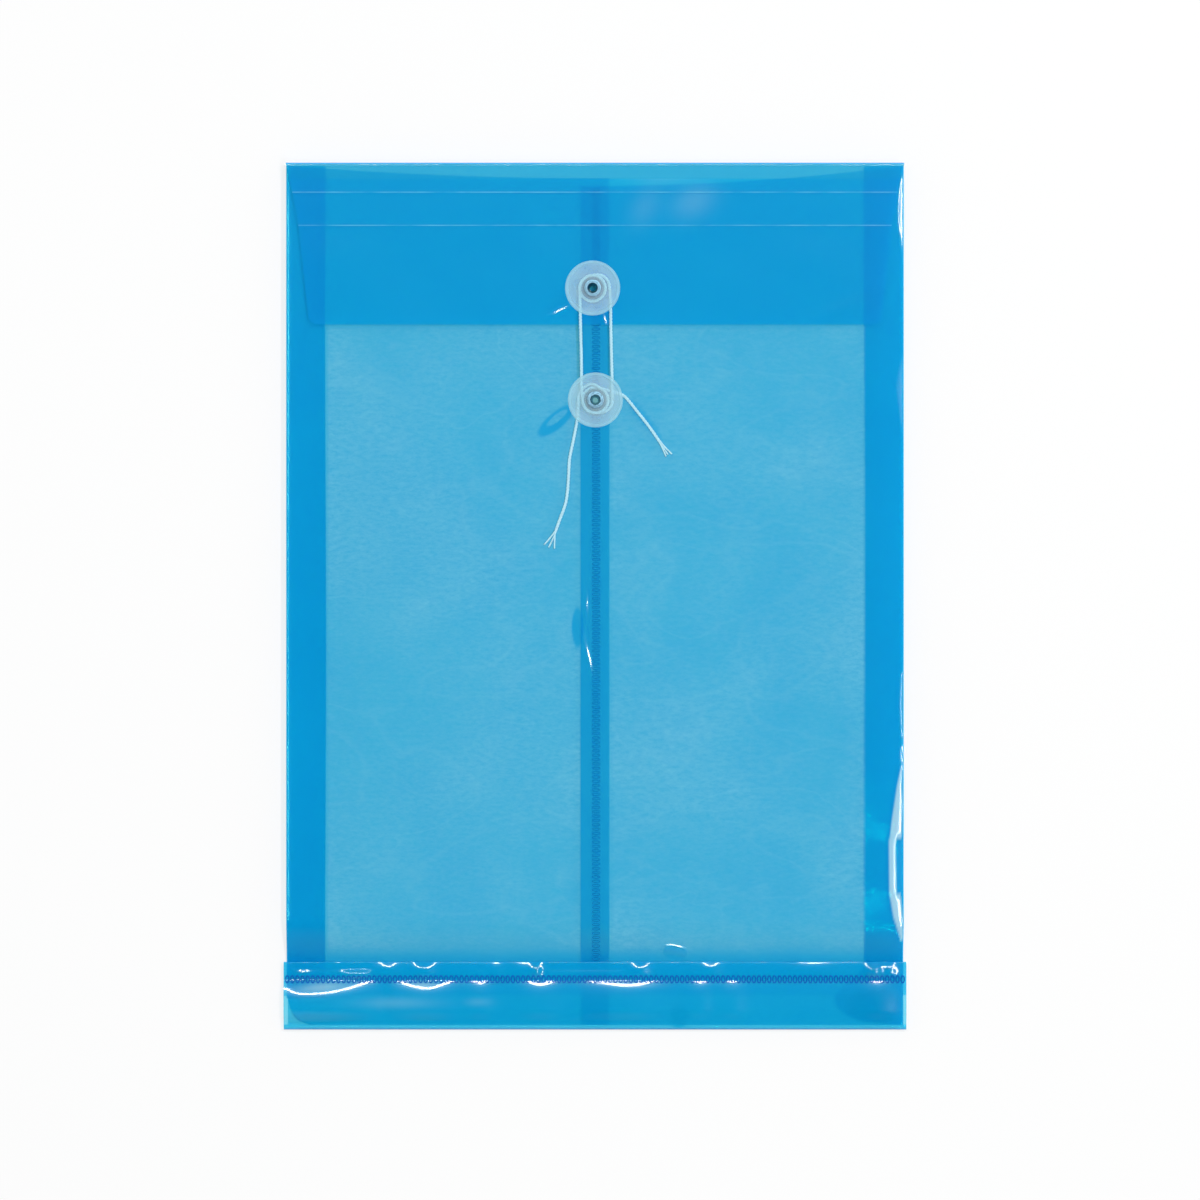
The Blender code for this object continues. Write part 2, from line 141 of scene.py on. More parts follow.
def round_off(radius: float, near: float) -> float:
    """How far in a round corner's edge lies, near short of its end, or 0 where it is straight."""
    return radius - math.sqrt(max(0.0, radius**2 - max(0.0, near) ** 2))


def spaced(low: float, high: float, step: float) -> list[float]:
    """Even stations from low to high, about step apart, both ends included."""
    count = max(1, round(abs(high - low) / step))
    return [low + (high - low) * i / count for i in range(count + 1)]


def graded(low: float, high: float, step: float, close: tuple[Triple, ...]) -> list[float]:
    """Stations from low to high that lie closer together over some spans.

    Args:
        low: The first station.
        high: The last station.
        step: The distance between two stations outside the spans.
        close: Each span's start, end and step, in order.

    Returns:
        The stations.
    """
    stations, at = [], low
    for start, end, close_step in close:
        start, end = max(start, at), min(end, high)
        if end > start:
            if start > at:
                stations += spaced(at, start, step)[:-1]
            stations += spaced(start, end, close_step)[:-1]
            at = end
    return stations + spaced(at, high, step)


@dataclass(frozen=True)
class BluePvcFilm:
    """Clear PVC film dyed blue and rolled between polished cylinders (calendered).

    Each sheet lets through a tinted view of what lies behind and adds a little milky blue of its
    own, so the folder gets deeper in colour wherever more sheets lie over each other. Where a sheet
    clings to the next the air between them is gone, and the blue deepens. The gloss is that of
    polished vinyl, with a soft halo round each highlight and the faint swell of soft film.
    """

    name: str
    seen_through: str = "#A8F8E5"
    clung_through: str = "#5ADCE2"
    milky: str = "#00A8FF"
    body: float = 0.42
    haze: float = 0.0
    roughness: float = 0.055
    halo: float = 0.5
    shine: float = 1.0
    swell: float = 0.25
    whitened_and_glinting_at: tuple[float, ...] = ()

    def material(self) -> bpy.types.Material:
        """Build the film's material.

        Returns:
            The material.
        """
        material, tree = new_tree(self.name)
        place = add_node(tree, "TexCoord", {}).outputs["Object"]
        # Sheets also cling lightly in broad patches, some 45 mm across, which look a shade deeper.
        broad = {"Vector": place, "Scale": 1 / 0.045, "Detail": 3.0, "Roughness": 0.62, "Distortion": 0.6}
        patches = add_node(tree, "TexNoise", broad)
        lightly = add_node(tree, "MapRange", {0: patches, 1: 0.4, 2: 0.62, 3: 0.0, 4: 0.1})
        drawn = add_node(tree, "Attribute", {"attribute_name": CLING}).outputs["Fac"]
        cling = add_node(tree, "Math", {"operation": "ADD", "use_clamp": True, 0: lightly, 1: drawn})
        ends = {6: linear(self.seen_through), 7: linear(self.clung_through)}
        tint = add_node(tree, "Mix", {"data_type": "RGBA", 0: cling, **ends}).outputs[2]
        # The rolls leave a swell about 9 mm long, only a few microns high.
        rolls = add_node(tree, "TexNoise", {"Vector": place, "Scale": 1 / 0.009, "Detail": 1.0})
        bump = add_node(tree, "Bump", {"Height": rolls, "Strength": self.swell, "Distance": 0.12 * MM})
        clear = add_node(tree, "BsdfTransparent", {"Color": tint})
        polish = {"Roughness": self.roughness, "IOR": 1.53, "Specular IOR Level": self.shine, "Normal": bump}
        coat = {"Coat Weight": self.halo, "Coat Roughness": 0.18, "Coat IOR": 1.5, "Coat Normal": bump}
        gloss = add_node(tree, "BsdfPrincipled", {"Base Color": linear(self.milky), **polish, **coat})
        edge_on = add_node(tree, "Fresnel", {"IOR": 1.53, "Normal": bump})
        solid = {"operation": "MULTIPLY_ADD", "use_clamp": True, 0: edge_on, 1: 0.8, 2: self.body}
        share = add_node(tree, "Math", solid)
        surface = add_node(tree, "MixShader", {0: share, 1: clear, 2: gloss})
        if self.haze:
            surface = self.mottle(tree, place, cling, surface)
        if self.whitened_and_glinting_at:
            surface = self.whiten_and_glint(tree, place, surface)
        add_node(tree, "OutputMaterial", {"Surface": surface})
        return material

    def mottle(
        self,
        tree: bpy.types.NodeTree,
        place: bpy.types.NodeSocket,
        cling: bpy.types.Node,
        surface: bpy.types.Node,
    ) -> bpy.types.Node:
        """Lay the pale haze of air between two sheets over the film, and the drawn pale patches: painted
        highlights on crushed edges, painted sheen on the hem and pale clouds on the flap.

        Args:
            tree: The material's tree.
            place: Where each point of the film is.
            cling: How much the sheet clings to the next, from 0 to 1, where there is no air.
            surface: The film's shader.

        Returns:
            The shader with its haze.
        """
        # The paper-like mottle is about 3 mm long and 1.5 mm high, and comes and goes over some 70 mm.
        long_way = add_node(tree, "Mapping", {"Vector": place, "Scale": (0.5, 1.0, 1.0)})
        grain = {"Vector": long_way, "Scale": 1 / 0.0015, "Detail": 4.0, "Roughness": 0.7}
        fine = add_node(tree, "TexNoise", grain)
        air = add_node(tree, "MapRange", {0: fine, 1: 0.3, 2: 0.7, 3: self.haze * 0.55, 4: self.haze * 1.45})
        wide = {"Vector": place, "Scale": 1 / 0.07, "Detail": 3.0, "Distortion": 0.8}
        broad = add_node(tree, "TexNoise", wide)
        waxing = add_node(tree, "MapRange", {0: broad, 1: 0.36, 2: 0.66, 3: 0.65, 4: 1.6})
        air = add_node(tree, "Math", {"operation": "MULTIPLY", 0: air, 1: waxing})
        # Faint curved streaks, some 30 mm long, are painted sheen: pale light streaks where the sheets last
        # parted.
        curves = {"Vector": long_way, "Scale": 1 / 0.03, "Detail": 2.0, "Distortion": 1.0}
        slow = add_node(tree, "TexNoise", curves)
        off_line = add_node(tree, "Math", {"operation": "SUBTRACT", 0: slow, 1: 0.5})
        away = add_node(tree, "Math", {"operation": "ABSOLUTE", 0: off_line})
        streak = add_node(tree, "MapRange", {0: away, 1: 0.0, 2: 0.03, 3: self.haze * 0.35, 4: 0.0})
        both = add_node(tree, "Math", {"operation": "ADD", 0: air, 1: streak})
        free = add_node(tree, "Math", {"operation": "SUBTRACT", 0: 1.0, 1: cling})
        drawn = add_node(tree, "Attribute", {"attribute_name": AIR}).outputs["Fac"]
        there = add_node(tree, "Math", {"operation": "MULTIPLY", 0: drawn, 1: free})
        blush = add_node(tree, "Attribute", {"attribute_name": PALE_MARK}).outputs["Fac"]
        sum_up = {"operation": "MULTIPLY_ADD", "use_clamp": True, 0: both, 1: there, 2: blush}
        amount = add_node(tree, "Math", sum_up)
        # One pale film shows the haze of air and also the painted highlights and painted sheen of the drawn
        # patches.
        pale = add_node(tree, "BsdfDiffuse", {"Color": linear("#CDEFF2")})
        return add_node(tree, "MixShader", {0: amount, 1: surface, 2: pale})

    def whiten_and_glint(
        self, tree: bpy.types.NodeTree, place: bpy.types.NodeSocket, surface: bpy.types.Node
    ) -> bpy.types.Node:
        """Lay the pale line of a pressed crease, partly stress whitening and partly a painted glint, and the
        deeper line beside it, over the film.

        Args:
            tree: The material's tree.
            place: Where each point of the film is.
            surface: The film's shader.

        Returns:
            The shader with its lines.
        """
        height = add_node(tree, "SeparateXYZ", {0: place}).outputs["Y"]
        # The press bar marks the film unevenly along a crease, in stretches of about 12 mm.
        breaks = add_node(tree, "TexNoise", {"Vector": place, "Scale": 1 / 0.012, "Detail": 2.0})
        uneven = add_node(tree, "MapRange", {0: breaks, 1: 0.34, 2: 0.66, 3: 0.06, 4: 0.32})
        # The pale line is partly the crease's own whitening and partly a painted glint; the deeper line runs
        # 0.5 mm below it.
        for lower, colour in ((0.0, "#86DCF8"), (0.5 * MM, "#0870B4")):
            paint = {"Base Color": linear(colour), "Roughness": 0.5, "Specular IOR Level": 0.2}
            for y in self.whitened_and_glinting_at:
                offset = add_node(tree, "Math", {"operation": "SUBTRACT", 0: height, 1: y - lower})
                away = add_node(tree, "Math", {"operation": "ABSOLUTE", 0: offset})
                # A crease is 0.2 mm wide, drawn at 0.36 mm so that it shows in the render.
                line = add_node(tree, "MapRange", {0: away, 1: 0.08 * MM, 2: 0.28 * MM, 3: 1.0, 4: 0.0})
                amount = add_node(tree, "Math", {"operation": "MULTIPLY", 0: line, 1: uneven})
                mark = add_node(tree, "BsdfPrincipled", paint)
                surface = add_node(tree, "MixShader", {0: amount, 1: surface, 2: mark})
        return surface


@dataclass(frozen=True)
class FrostedPolyethylene:
    """Low-density polyethylene, moulded against a matt tool: waxy, and see-through like frosted glass."""

    name: str
    body: float = 0.24
    milky: str = "#BCD6D6"
    seen_through: str = "#F0FAFE"
    glow: float = 0.95
    rim: float = 0.14
    painted_rim_glow: str = ""

    def material(self) -> bpy.types.Material:
        """Build the plastic's material.

        Returns:
            The material.
        """
        material, tree = new_tree(self.name)
        place = add_node(tree, "TexCoord", {}).outputs["Object"]
        # The etched mould leaves a grain of about 0.25 mm, and melt flow leaves clouds of about 6 mm.
        grain = add_node(tree, "TexNoise", {"Vector": place, "Scale": 1 / 0.00025, "Detail": 2.0})
        clouds = add_node(tree, "TexNoise", {"Vector": place, "Scale": 1 / 0.006, "Detail": 2.0})
        bump = add_node(tree, "Bump", {"Height": grain, "Strength": 0.3, "Distance": 0.02 * MM})
        thick = add_node(tree, "Attribute", {"attribute_name": THICK}).outputs["Fac"]
        colour = linear(self.milky)
        if self.painted_rim_glow:
            # The thick rim is painted bluer: a painted glow of the blue light that it gathers from the film
            # below.
            ends = {6: colour, 7: linear(self.painted_rim_glow)}
            colour = add_node(tree, "Mix", {"data_type": "RGBA", 0: thick, **ends}).outputs[2]
        waxy = {"Base Color": colour, "Roughness": 0.42, "IOR": 1.51, "Normal": bump}
        skin = add_node(tree, "BsdfPrincipled", waxy)
        clear = add_node(tree, "BsdfTransparent", {"Color": linear(self.seen_through)})
        facing = add_node(tree, "LayerWeight", {"Blend": 0.25}).outputs["Facing"]
        thin, dense = self.body * 0.85, self.body * 1.15
        cloudy = add_node(tree, "MapRange", {0: clouds, 1: 0.3, 2: 0.7, 3: thin, 4: dense})
        deep = add_node(tree, "Math", {"operation": "MULTIPLY_ADD", 0: thick, 1: self.rim, 2: cloudy})
        solid = {"operation": "MULTIPLY_ADD", "use_clamp": True, 0: facing, 1: 0.75, 2: deep}
        share = add_node(tree, "Math", solid)
        # Waxy plastic spreads light but swallows little of it, so what lies under it stays bright.
        rays = add_node(tree, "LightPath", {}).outputs
        either = {"operation": "MAXIMUM", 0: rays["Is Shadow Ray"], 1: rays["Is Diffuse Ray"]}
        lit = add_node(tree, "Math", either)
        passing = add_node(tree, "MapRange", {0: lit, 1: 0.0, 2: 1.0, 3: 1.0, 4: 1 - self.glow})
        share = add_node(tree, "Math", {"operation": "MULTIPLY", 0: share, 1: passing})
        surface = add_node(tree, "MixShader", {0: share, 1: clear, 2: skin})
        add_node(tree, "OutputMaterial", {"Surface": surface})
        return material


@dataclass(frozen=True)
class NickelPlatedBrass:
    """Brass strip drawn to an eyelet and plated with dull nickel: a grey metal with fine rings, given a painted
    blue reflection of the film round it.
    """

    name: str
    # Grey nickel with a painted blue reflection of the film round it.
    plating_and_reflection: str = "#7CA6BC"
    roughness: float = 0.36

    def material(self) -> bpy.types.Material:
        """Build the metal's material.

        Returns:
            The material.
        """
        material, tree = new_tree(self.name)
        place = add_node(tree, "TexCoord", {}).outputs["Object"]
        # Handling leaves specks of about 0.4 mm that are a little duller than the rest.
        specks = add_node(tree, "TexNoise", {"Vector": place, "Scale": 1 / 0.0004, "Detail": 3.0})
        polished, worn = self.roughness - 0.08, self.roughness + 0.1
        dull = add_node(tree, "MapRange", {0: specks, 1: 0.3, 2: 0.7, 3: polished, 4: worn})
        bump = add_node(tree, "Bump", {"Height": specks, "Strength": 0.2, "Distance": 0.01 * MM})
        finish = {"Base Color": linear(self.plating_and_reflection), "Metallic": 1.0, "Roughness": dull, "Normal": bump}
        metal = add_node(tree, "BsdfPrincipled", finish)
        add_node(tree, "OutputMaterial", {"Surface": metal})
        return material


@dataclass(frozen=True)
class TwistedCotton:
    """Bleached cotton yarn twisted in three plies: matt, soft at the rim, with fibres along each ply."""

    name: str
    yarn: str = "#CFF3FD"
    hollows: str = "#A0DAEE"

    def material(self) -> bpy.types.Material:
        """Build the yarn's material.

        Returns:
            The material.
        """
        material, tree = new_tree(self.name)
        place = add_node(tree, "TexCoord", {}).outputs["Object"]
        # Cotton fibres are 0.02 mm thick, drawn at 0.12 mm so that they break up the shading.
        strands = {"Vector": place, "Scale": 1 / 0.00012, "Detail": 2.0, "Distortion": 1.5}
        fibres = add_node(tree, "TexNoise", strands)
        ends = {6: linear(self.hollows), 7: linear(self.yarn)}
        shade = add_node(tree, "Mix", {"data_type": "RGBA", 0: fibres, **ends}).outputs[2]
        bump = add_node(tree, "Bump", {"Height": fibres, "Strength": 0.5, "Distance": 0.04 * MM})
        soft = {"Base Color": shade, "Roughness": 0.92, "Sheen Weight": 0.35, "Sheen Roughness": 0.5}
        yarn = add_node(tree, "BsdfPrincipled", {**soft, "Normal": bump})
        add_node(tree, "OutputMaterial", {"Surface": yarn})
        return material


@dataclass
class Mesh:
    """The points and faces of a piece in the making."""

    points: list[Vector] = field(default_factory=list)
    faces: list[tuple[int, ...]] = field(default_factory=list)

    def piece(self, name: str, material: bpy.types.Material, slot: str) -> bpy.types.Object:
        """Make a smooth-shaded piece in the scene.

        Args:
            name: The piece's name.
            material: What it is dressed in.
            slot: Not used.

        Returns:
            The piece.
        """
        mesh = bpy.data.meshes.new(name)
        mesh.from_pydata([tuple(p) for p in self.points], [], self.faces)
        mesh.polygons.foreach_set("use_smooth", [True] * len(mesh.polygons))
        mesh.materials.append(material)
        mesh.update()
        piece = bpy.data.objects.new(name, mesh)
        bpy.context.scene.collection.objects.link(piece)
        return piece

    def mark(self, piece: bpy.types.Object, name: str, values: list[float]) -> None:
        """Write a value for each of the piece's points, for its material to read."""
        piece.data.attributes.new(name, "FLOAT", "POINT").data.foreach_set("value", values)


def sheet_piece(
    name: str,
    rows: list[list[Vector]],
    material: bpy.types.Material,
    hole: tuple[Vector, float] | None = None,
    marks: dict[str, OverPlaces] | None = None,
    folds: tuple[int, ...] = (),
) -> bpy.types.Object:
    """Make a sheet of film through rows of points.

    Args:
        name: The piece's name.
        rows: Rows of points, all of one length.
        material: The film.
        hole: The middle and radius of a punched hole.
        marks: Values drawn on the film for its material, each as a function of the place.
        folds: The columns of points that lie on a sharp fold.

    Returns:
        The piece.
    """
    width = len(rows[0])
    mesh = Mesh([point for row in rows for point in row])
    for j in range(len(rows) - 1):
        for i in range(width - 1):
            corners = (j * width + i, j * width + i + 1, (j + 1) * width + i + 1, (j + 1) * width + i)
            middle = sum((mesh.points[k] for k in corners), Vector()) / 4
            if not hole or (middle.xy - hole[0].xy).length >= hole[1]:
                mesh.faces.append(corners)
    piece = mesh.piece(name, material, "film")
    for mark, amount in (marks or {}).items():
        mesh.mark(piece, mark, [amount(point.x, point.y) for point in mesh.points])
    for edge in piece.data.edges:
        a, b = (vertex % width for vertex in edge.vertices)
        if a == b and a in folds:
            edge.use_edge_sharp = True
    return piece


def turned_piece(
    name: str,
    profile: list[tuple[float, float]],
    at: Vector,
    material: bpy.types.Material,
    slot: str,
    thick_from: float = 1.0,
) -> bpy.types.Object:
    """Make a ring turned about Z.

    Args:
        name: The piece's name.
        profile: Its closed outline, as radius and height above at.
        at: The middle of its foot.
        material: What it is dressed in.
        slot: The record's material slot.
        thick_from: The radius from which it is thicker, and so whiter.

    Returns:
        The piece.
    """
    steps, count = 96, len(profile)
    mesh = Mesh()
    for i in range(steps):
        angle = 2 * math.pi * i / steps
        mesh.points += [at + Vector((r * math.cos(angle), r * math.sin(angle), z)) for r, z in profile]
        here, there = i * count, (i + 1) % steps * count
        for k in range(count):
            after = (k + 1) % count
            mesh.faces.append((here + k, there + k, there + after, here + after))
    piece = mesh.piece(name, material, slot)
    mesh.mark(piece, THICK, [smooth((math.dist(p.xy, at.xy) - thick_from) / (0.3 * MM)) for p in mesh.points])
    return piece


def rounded(corners: list[Triple], steps: int = 5) -> list[tuple[float, float]]:
    """Round the corners of a closed outline.

    Args:
        corners: Each corner's two coordinates, and its radius in millimetres, in order round the outline.
        steps: Points on each rounded corner, less one.

    Returns:
        The outline's points.
    """
    outline = []
    for i, (x, y, radius) in enumerate(corners):
        here = Vector((x, y))
        before = (Vector(corners[i - 1][:2]) - here).normalized()
        after = (Vector(corners[(i + 1) % len(corners)][:2]) - here).normalized()
        half = math.acos(max(-1.0, min(1.0, before.dot(after)))) / 2
        if radius <= 0 or half > 1.5:
            outline.append((x, y))
            continue
        reach = radius * MM / math.tan(half)
        start, end = here + before * reach, here + after * reach
        for k in range(steps + 1):
            t = k / steps
            outline.append((start * (1 - t) ** 2 + here * (2 * t * (1 - t)) + end * t**2)[:])
    return outline


@dataclass(frozen=True)
class Levels:
    """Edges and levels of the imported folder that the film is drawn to."""

    half_width: float
    fold_y: float
    back_z: float
    back_low_y: float
    crease_x: float
    left_front_z: float
    right_front_z: float
    left_foot_z: float
    right_foot_z: float
    lap: float
    hem_edge_y: float
    hem_reach: float
    hem_top_z: float
    hem_return_z: float
    hem_return_y: float
    bottom_y: float
    rise_top_y: float
    flap_z: float
    first_score_y: float
    second_score_y: float
    flap_edge_y: float
    first_half: float
    second_half: float
    flap_edge_half: float = 108.6 * MM

    @classmethod
    def measured(cls) -> "Levels":
        """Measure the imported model.

        Returns:
            The levels.
        """
        back_low, back_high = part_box("back_panel")
        left_low, left_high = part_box("front_left_panel")
        right_low, right_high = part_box("front_right_panel")
        hem_low, hem_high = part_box("bottom_hem")
        flap_low, flap_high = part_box("flap_panel")
        joints = {joint["name"]: joint for joint in frame["joints"]}
        film = back_high.z - back_low.z
        return cls(
            half_width=back_high.x,
            fold_y=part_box("flap_first_strip")[1].y,
            back_z=film / 2,
            back_low_y=back_low.y,
            crease_x=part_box("right_gusset_rear_leaf")[0].x,
            left_front_z=(left_low.z + left_high.z) / 2,
            right_front_z=(right_low.z + right_high.z) / 2,
            left_foot_z=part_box("front_left_foot")[0].z + film / 2,
            right_foot_z=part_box("front_right_foot")[0].z + film / 2,
            lap=left_high.x,
            hem_edge_y=hem_high.y,
            hem_reach=hem_high.x,
            hem_top_z=hem_high.z - film / 2,
            hem_return_z=hem_high.z - 2.5 * film - 0.1 * MM,
            hem_return_y=hem_high.y - 12.6 * MM,
            bottom_y=hem_low.y,
            rise_top_y=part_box("front_left_foot")[1].y,
            flap_z=(flap_low.z + flap_high.z) / 2,
            first_score_y=joints["first_score"]["pos_m"][1],
            second_score_y=joints["second_score"]["pos_m"][1],
            flap_edge_y=flap_low.y,
            first_half=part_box("flap_second_strip")[1].x,
            second_half=flap_high.x,
        )

    def lift(self, y: float) -> float:
        """How far the front has risen from under the hem at a place up the folder, from 0 to 1."""
        return smooth((y - self.hem_edge_y + 2 * MM) / (self.rise_top_y - self.hem_edge_y))

    def hinge_at_foot(self, piece: bpy.types.Object) -> None:
        """Bake a piece's transform into its mesh."""
        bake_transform(piece)


@dataclass(frozen=True)
class Puff:
    """A stretch of film that stands up, highest at one place along X, in millimetres."""

    x: float
    reach: float
    height: float

    def at(self, x: float) -> float:
        """Its height at x, both in metres."""
        return self.height * MM * math.exp(-(((x / MM - self.x) / self.reach) ** 2))


@dataclass(frozen=True)
class Oval:
    """An oval place in the film, in millimetres and degrees: a dimple, or a patch that clings or is pale."""

    x: float
    y: float
    length: float
    width: float
    turn: float
    amount: float

    def reach(self, x: float, y: float) -> float:
        """How far out a place lies.

        Args:
            x: Place across the folder, in metres.
            y: Place up the folder, in metres.

        Returns:
            0 in the oval's middle and 1 at its rim.
        """
        dx, dy = x / MM - self.x, y / MM - self.y
        c, s = math.cos(math.radians(self.turn)), math.sin(math.radians(self.turn))
        return math.hypot((dx * c + dy * s) / self.length, (dy * c - dx * s) / self.width)

    def dimple(self, x: float, y: float) -> float:
        """Its height in millimetres, or its strength, at a place, where it fades outwards."""
        reach = self.reach(x, y)
        return self.amount * math.exp(-2.2 * reach * reach) if reach < 2 else 0.0

    def patch(self, x: float, y: float) -> float:
        """Its strength at a place, where it is a patch."""
        return self.amount * smooth((1.15 - self.reach(x, y)) / 0.3)


@dataclass(frozen=True)
class Ledge:
    """A short, steep step in the film, down towards the top, that bows down at its right end."""

    start_x: float = 25.5 * MM
    end_x: float = 35.8 * MM
    y: float = -132.4 * MM
    bow: float = 2.4 * MM
    width: float = 0.8 * MM
    slope: float = 0.558
    fade: float = 4.2 * MM
    end_share: float = 0.15

    def at(self, x: float, y: float) -> float:
        """Its height at a place.

        Args:
            x: Place across the folder.
            y: Place up the folder.

        Returns:
            The height.
        """
        along = (x - self.start_x) / (self.end_x - self.start_x)
        below = self.y - self.bow * along**3 - y
        step = self.slope * min(max(below + self.width / 2, 0.0), self.width)
        ends = smooth(along / self.end_share) * smooth((1 - along) / self.end_share)
        return step * ends * smooth(1 - below / self.fade)


@dataclass(frozen=True)
class EdgeRoll:
    """A stretch of the side edge where the film leans outwards before it turns down.

    Each mark holds a place up the folder, how far in from the edge the lean ends, and how wide it
    is, in millimetres. The lean's slope goes from the first value on its inner side to the second.
    """

    marks: tuple[Triple, ...]
    lean: tuple[float, float] = (0.07, 0.134)
    fall: float = 0.42
    # The strength of a painted highlight along the lean, drawn as pale film.
    blush: float = 0.0

    def span(self, y: float) -> tuple[float, float]:
        """Find the lean at a place up the folder.

        Args:
            y: Place up the folder.

        Returns:
            Where the lean ends, in from the edge, and its width, which is 0 where there is none.
        """
        for low, high in zip(self.marks, self.marks[1:]):
            share = (y / MM - low[0]) / (high[0] - low[0])
            if 0 <= share <= 1:
                return mix(low[1], high[1], share) * MM, mix(low[2], high[2], share) * MM
        return 0.0, 0.0

    def drop(self, inward: float, y: float) -> float:
        """How far the film lies under its flat level.

        Args:
            inward: Distance in from the side edge.
            y: Place up the folder.

        Returns:
            The drop.
        """
        inset, width = self.span(y)
        past = min(width, inset + width - inward)
        if past <= 0:
            return 0.0
        drop = past * (self.lean[0] + (self.lean[1] - self.lean[0]) * past / (2 * width))
        return drop + self.fall * max(0.0, inset - inward)

    def painted_highlight(self, inward: float, y: float) -> float:
        """How much painted highlight, drawn as pale film, lies on the crushed film at a place.

        Args:
            inward: Distance in from the side edge.
            y: Place up the folder.

        Returns:
            The amount.
        """
        inset, width = self.span(y)
        inner = smooth((inset + width - inward) / (0.8 * MM))
        return self.blush * smooth((inward - inset + 0.2 * MM) / (0.4 * MM)) * inner if width else 0.0

    def wetting(self, inward: float, y: float) -> float:
        """How much the film clings to the next sheet along the inner side of a crushed stretch.

        Args:
            inward: Distance in from the side edge.
            y: Place up the folder.

        Returns:
            The amount.
        """
        inset, width = self.span(y)
        if not width or not self.blush:
            return 0.0
        past = inward - inset - width
        return 0.6 * smooth((past + 0.2 * MM) / (0.4 * MM)) * smooth((1.1 * MM - past) / (0.4 * MM))


def swell(x: float, y: float) -> float:
    """The slow unevenness of a soft sheet, from -1 to 1.

    Args:
        x: Place across the folder.
        y: Place up the folder.

    Returns:
        The height, before it is scaled.
    """
    long_wave = math.sin(2 * math.pi * (x / 0.083 + y / 0.31) + 0.7)
    cross_wave = math.sin(2 * math.pi * (y / 0.142 - x / 0.097) + 2.1)
    short_wave = math.sin(2 * math.pi * (x / 0.046 + y / 0.068) + 4.0)
    return 0.45 * long_wave + 0.33 * cross_wave + 0.22 * short_wave


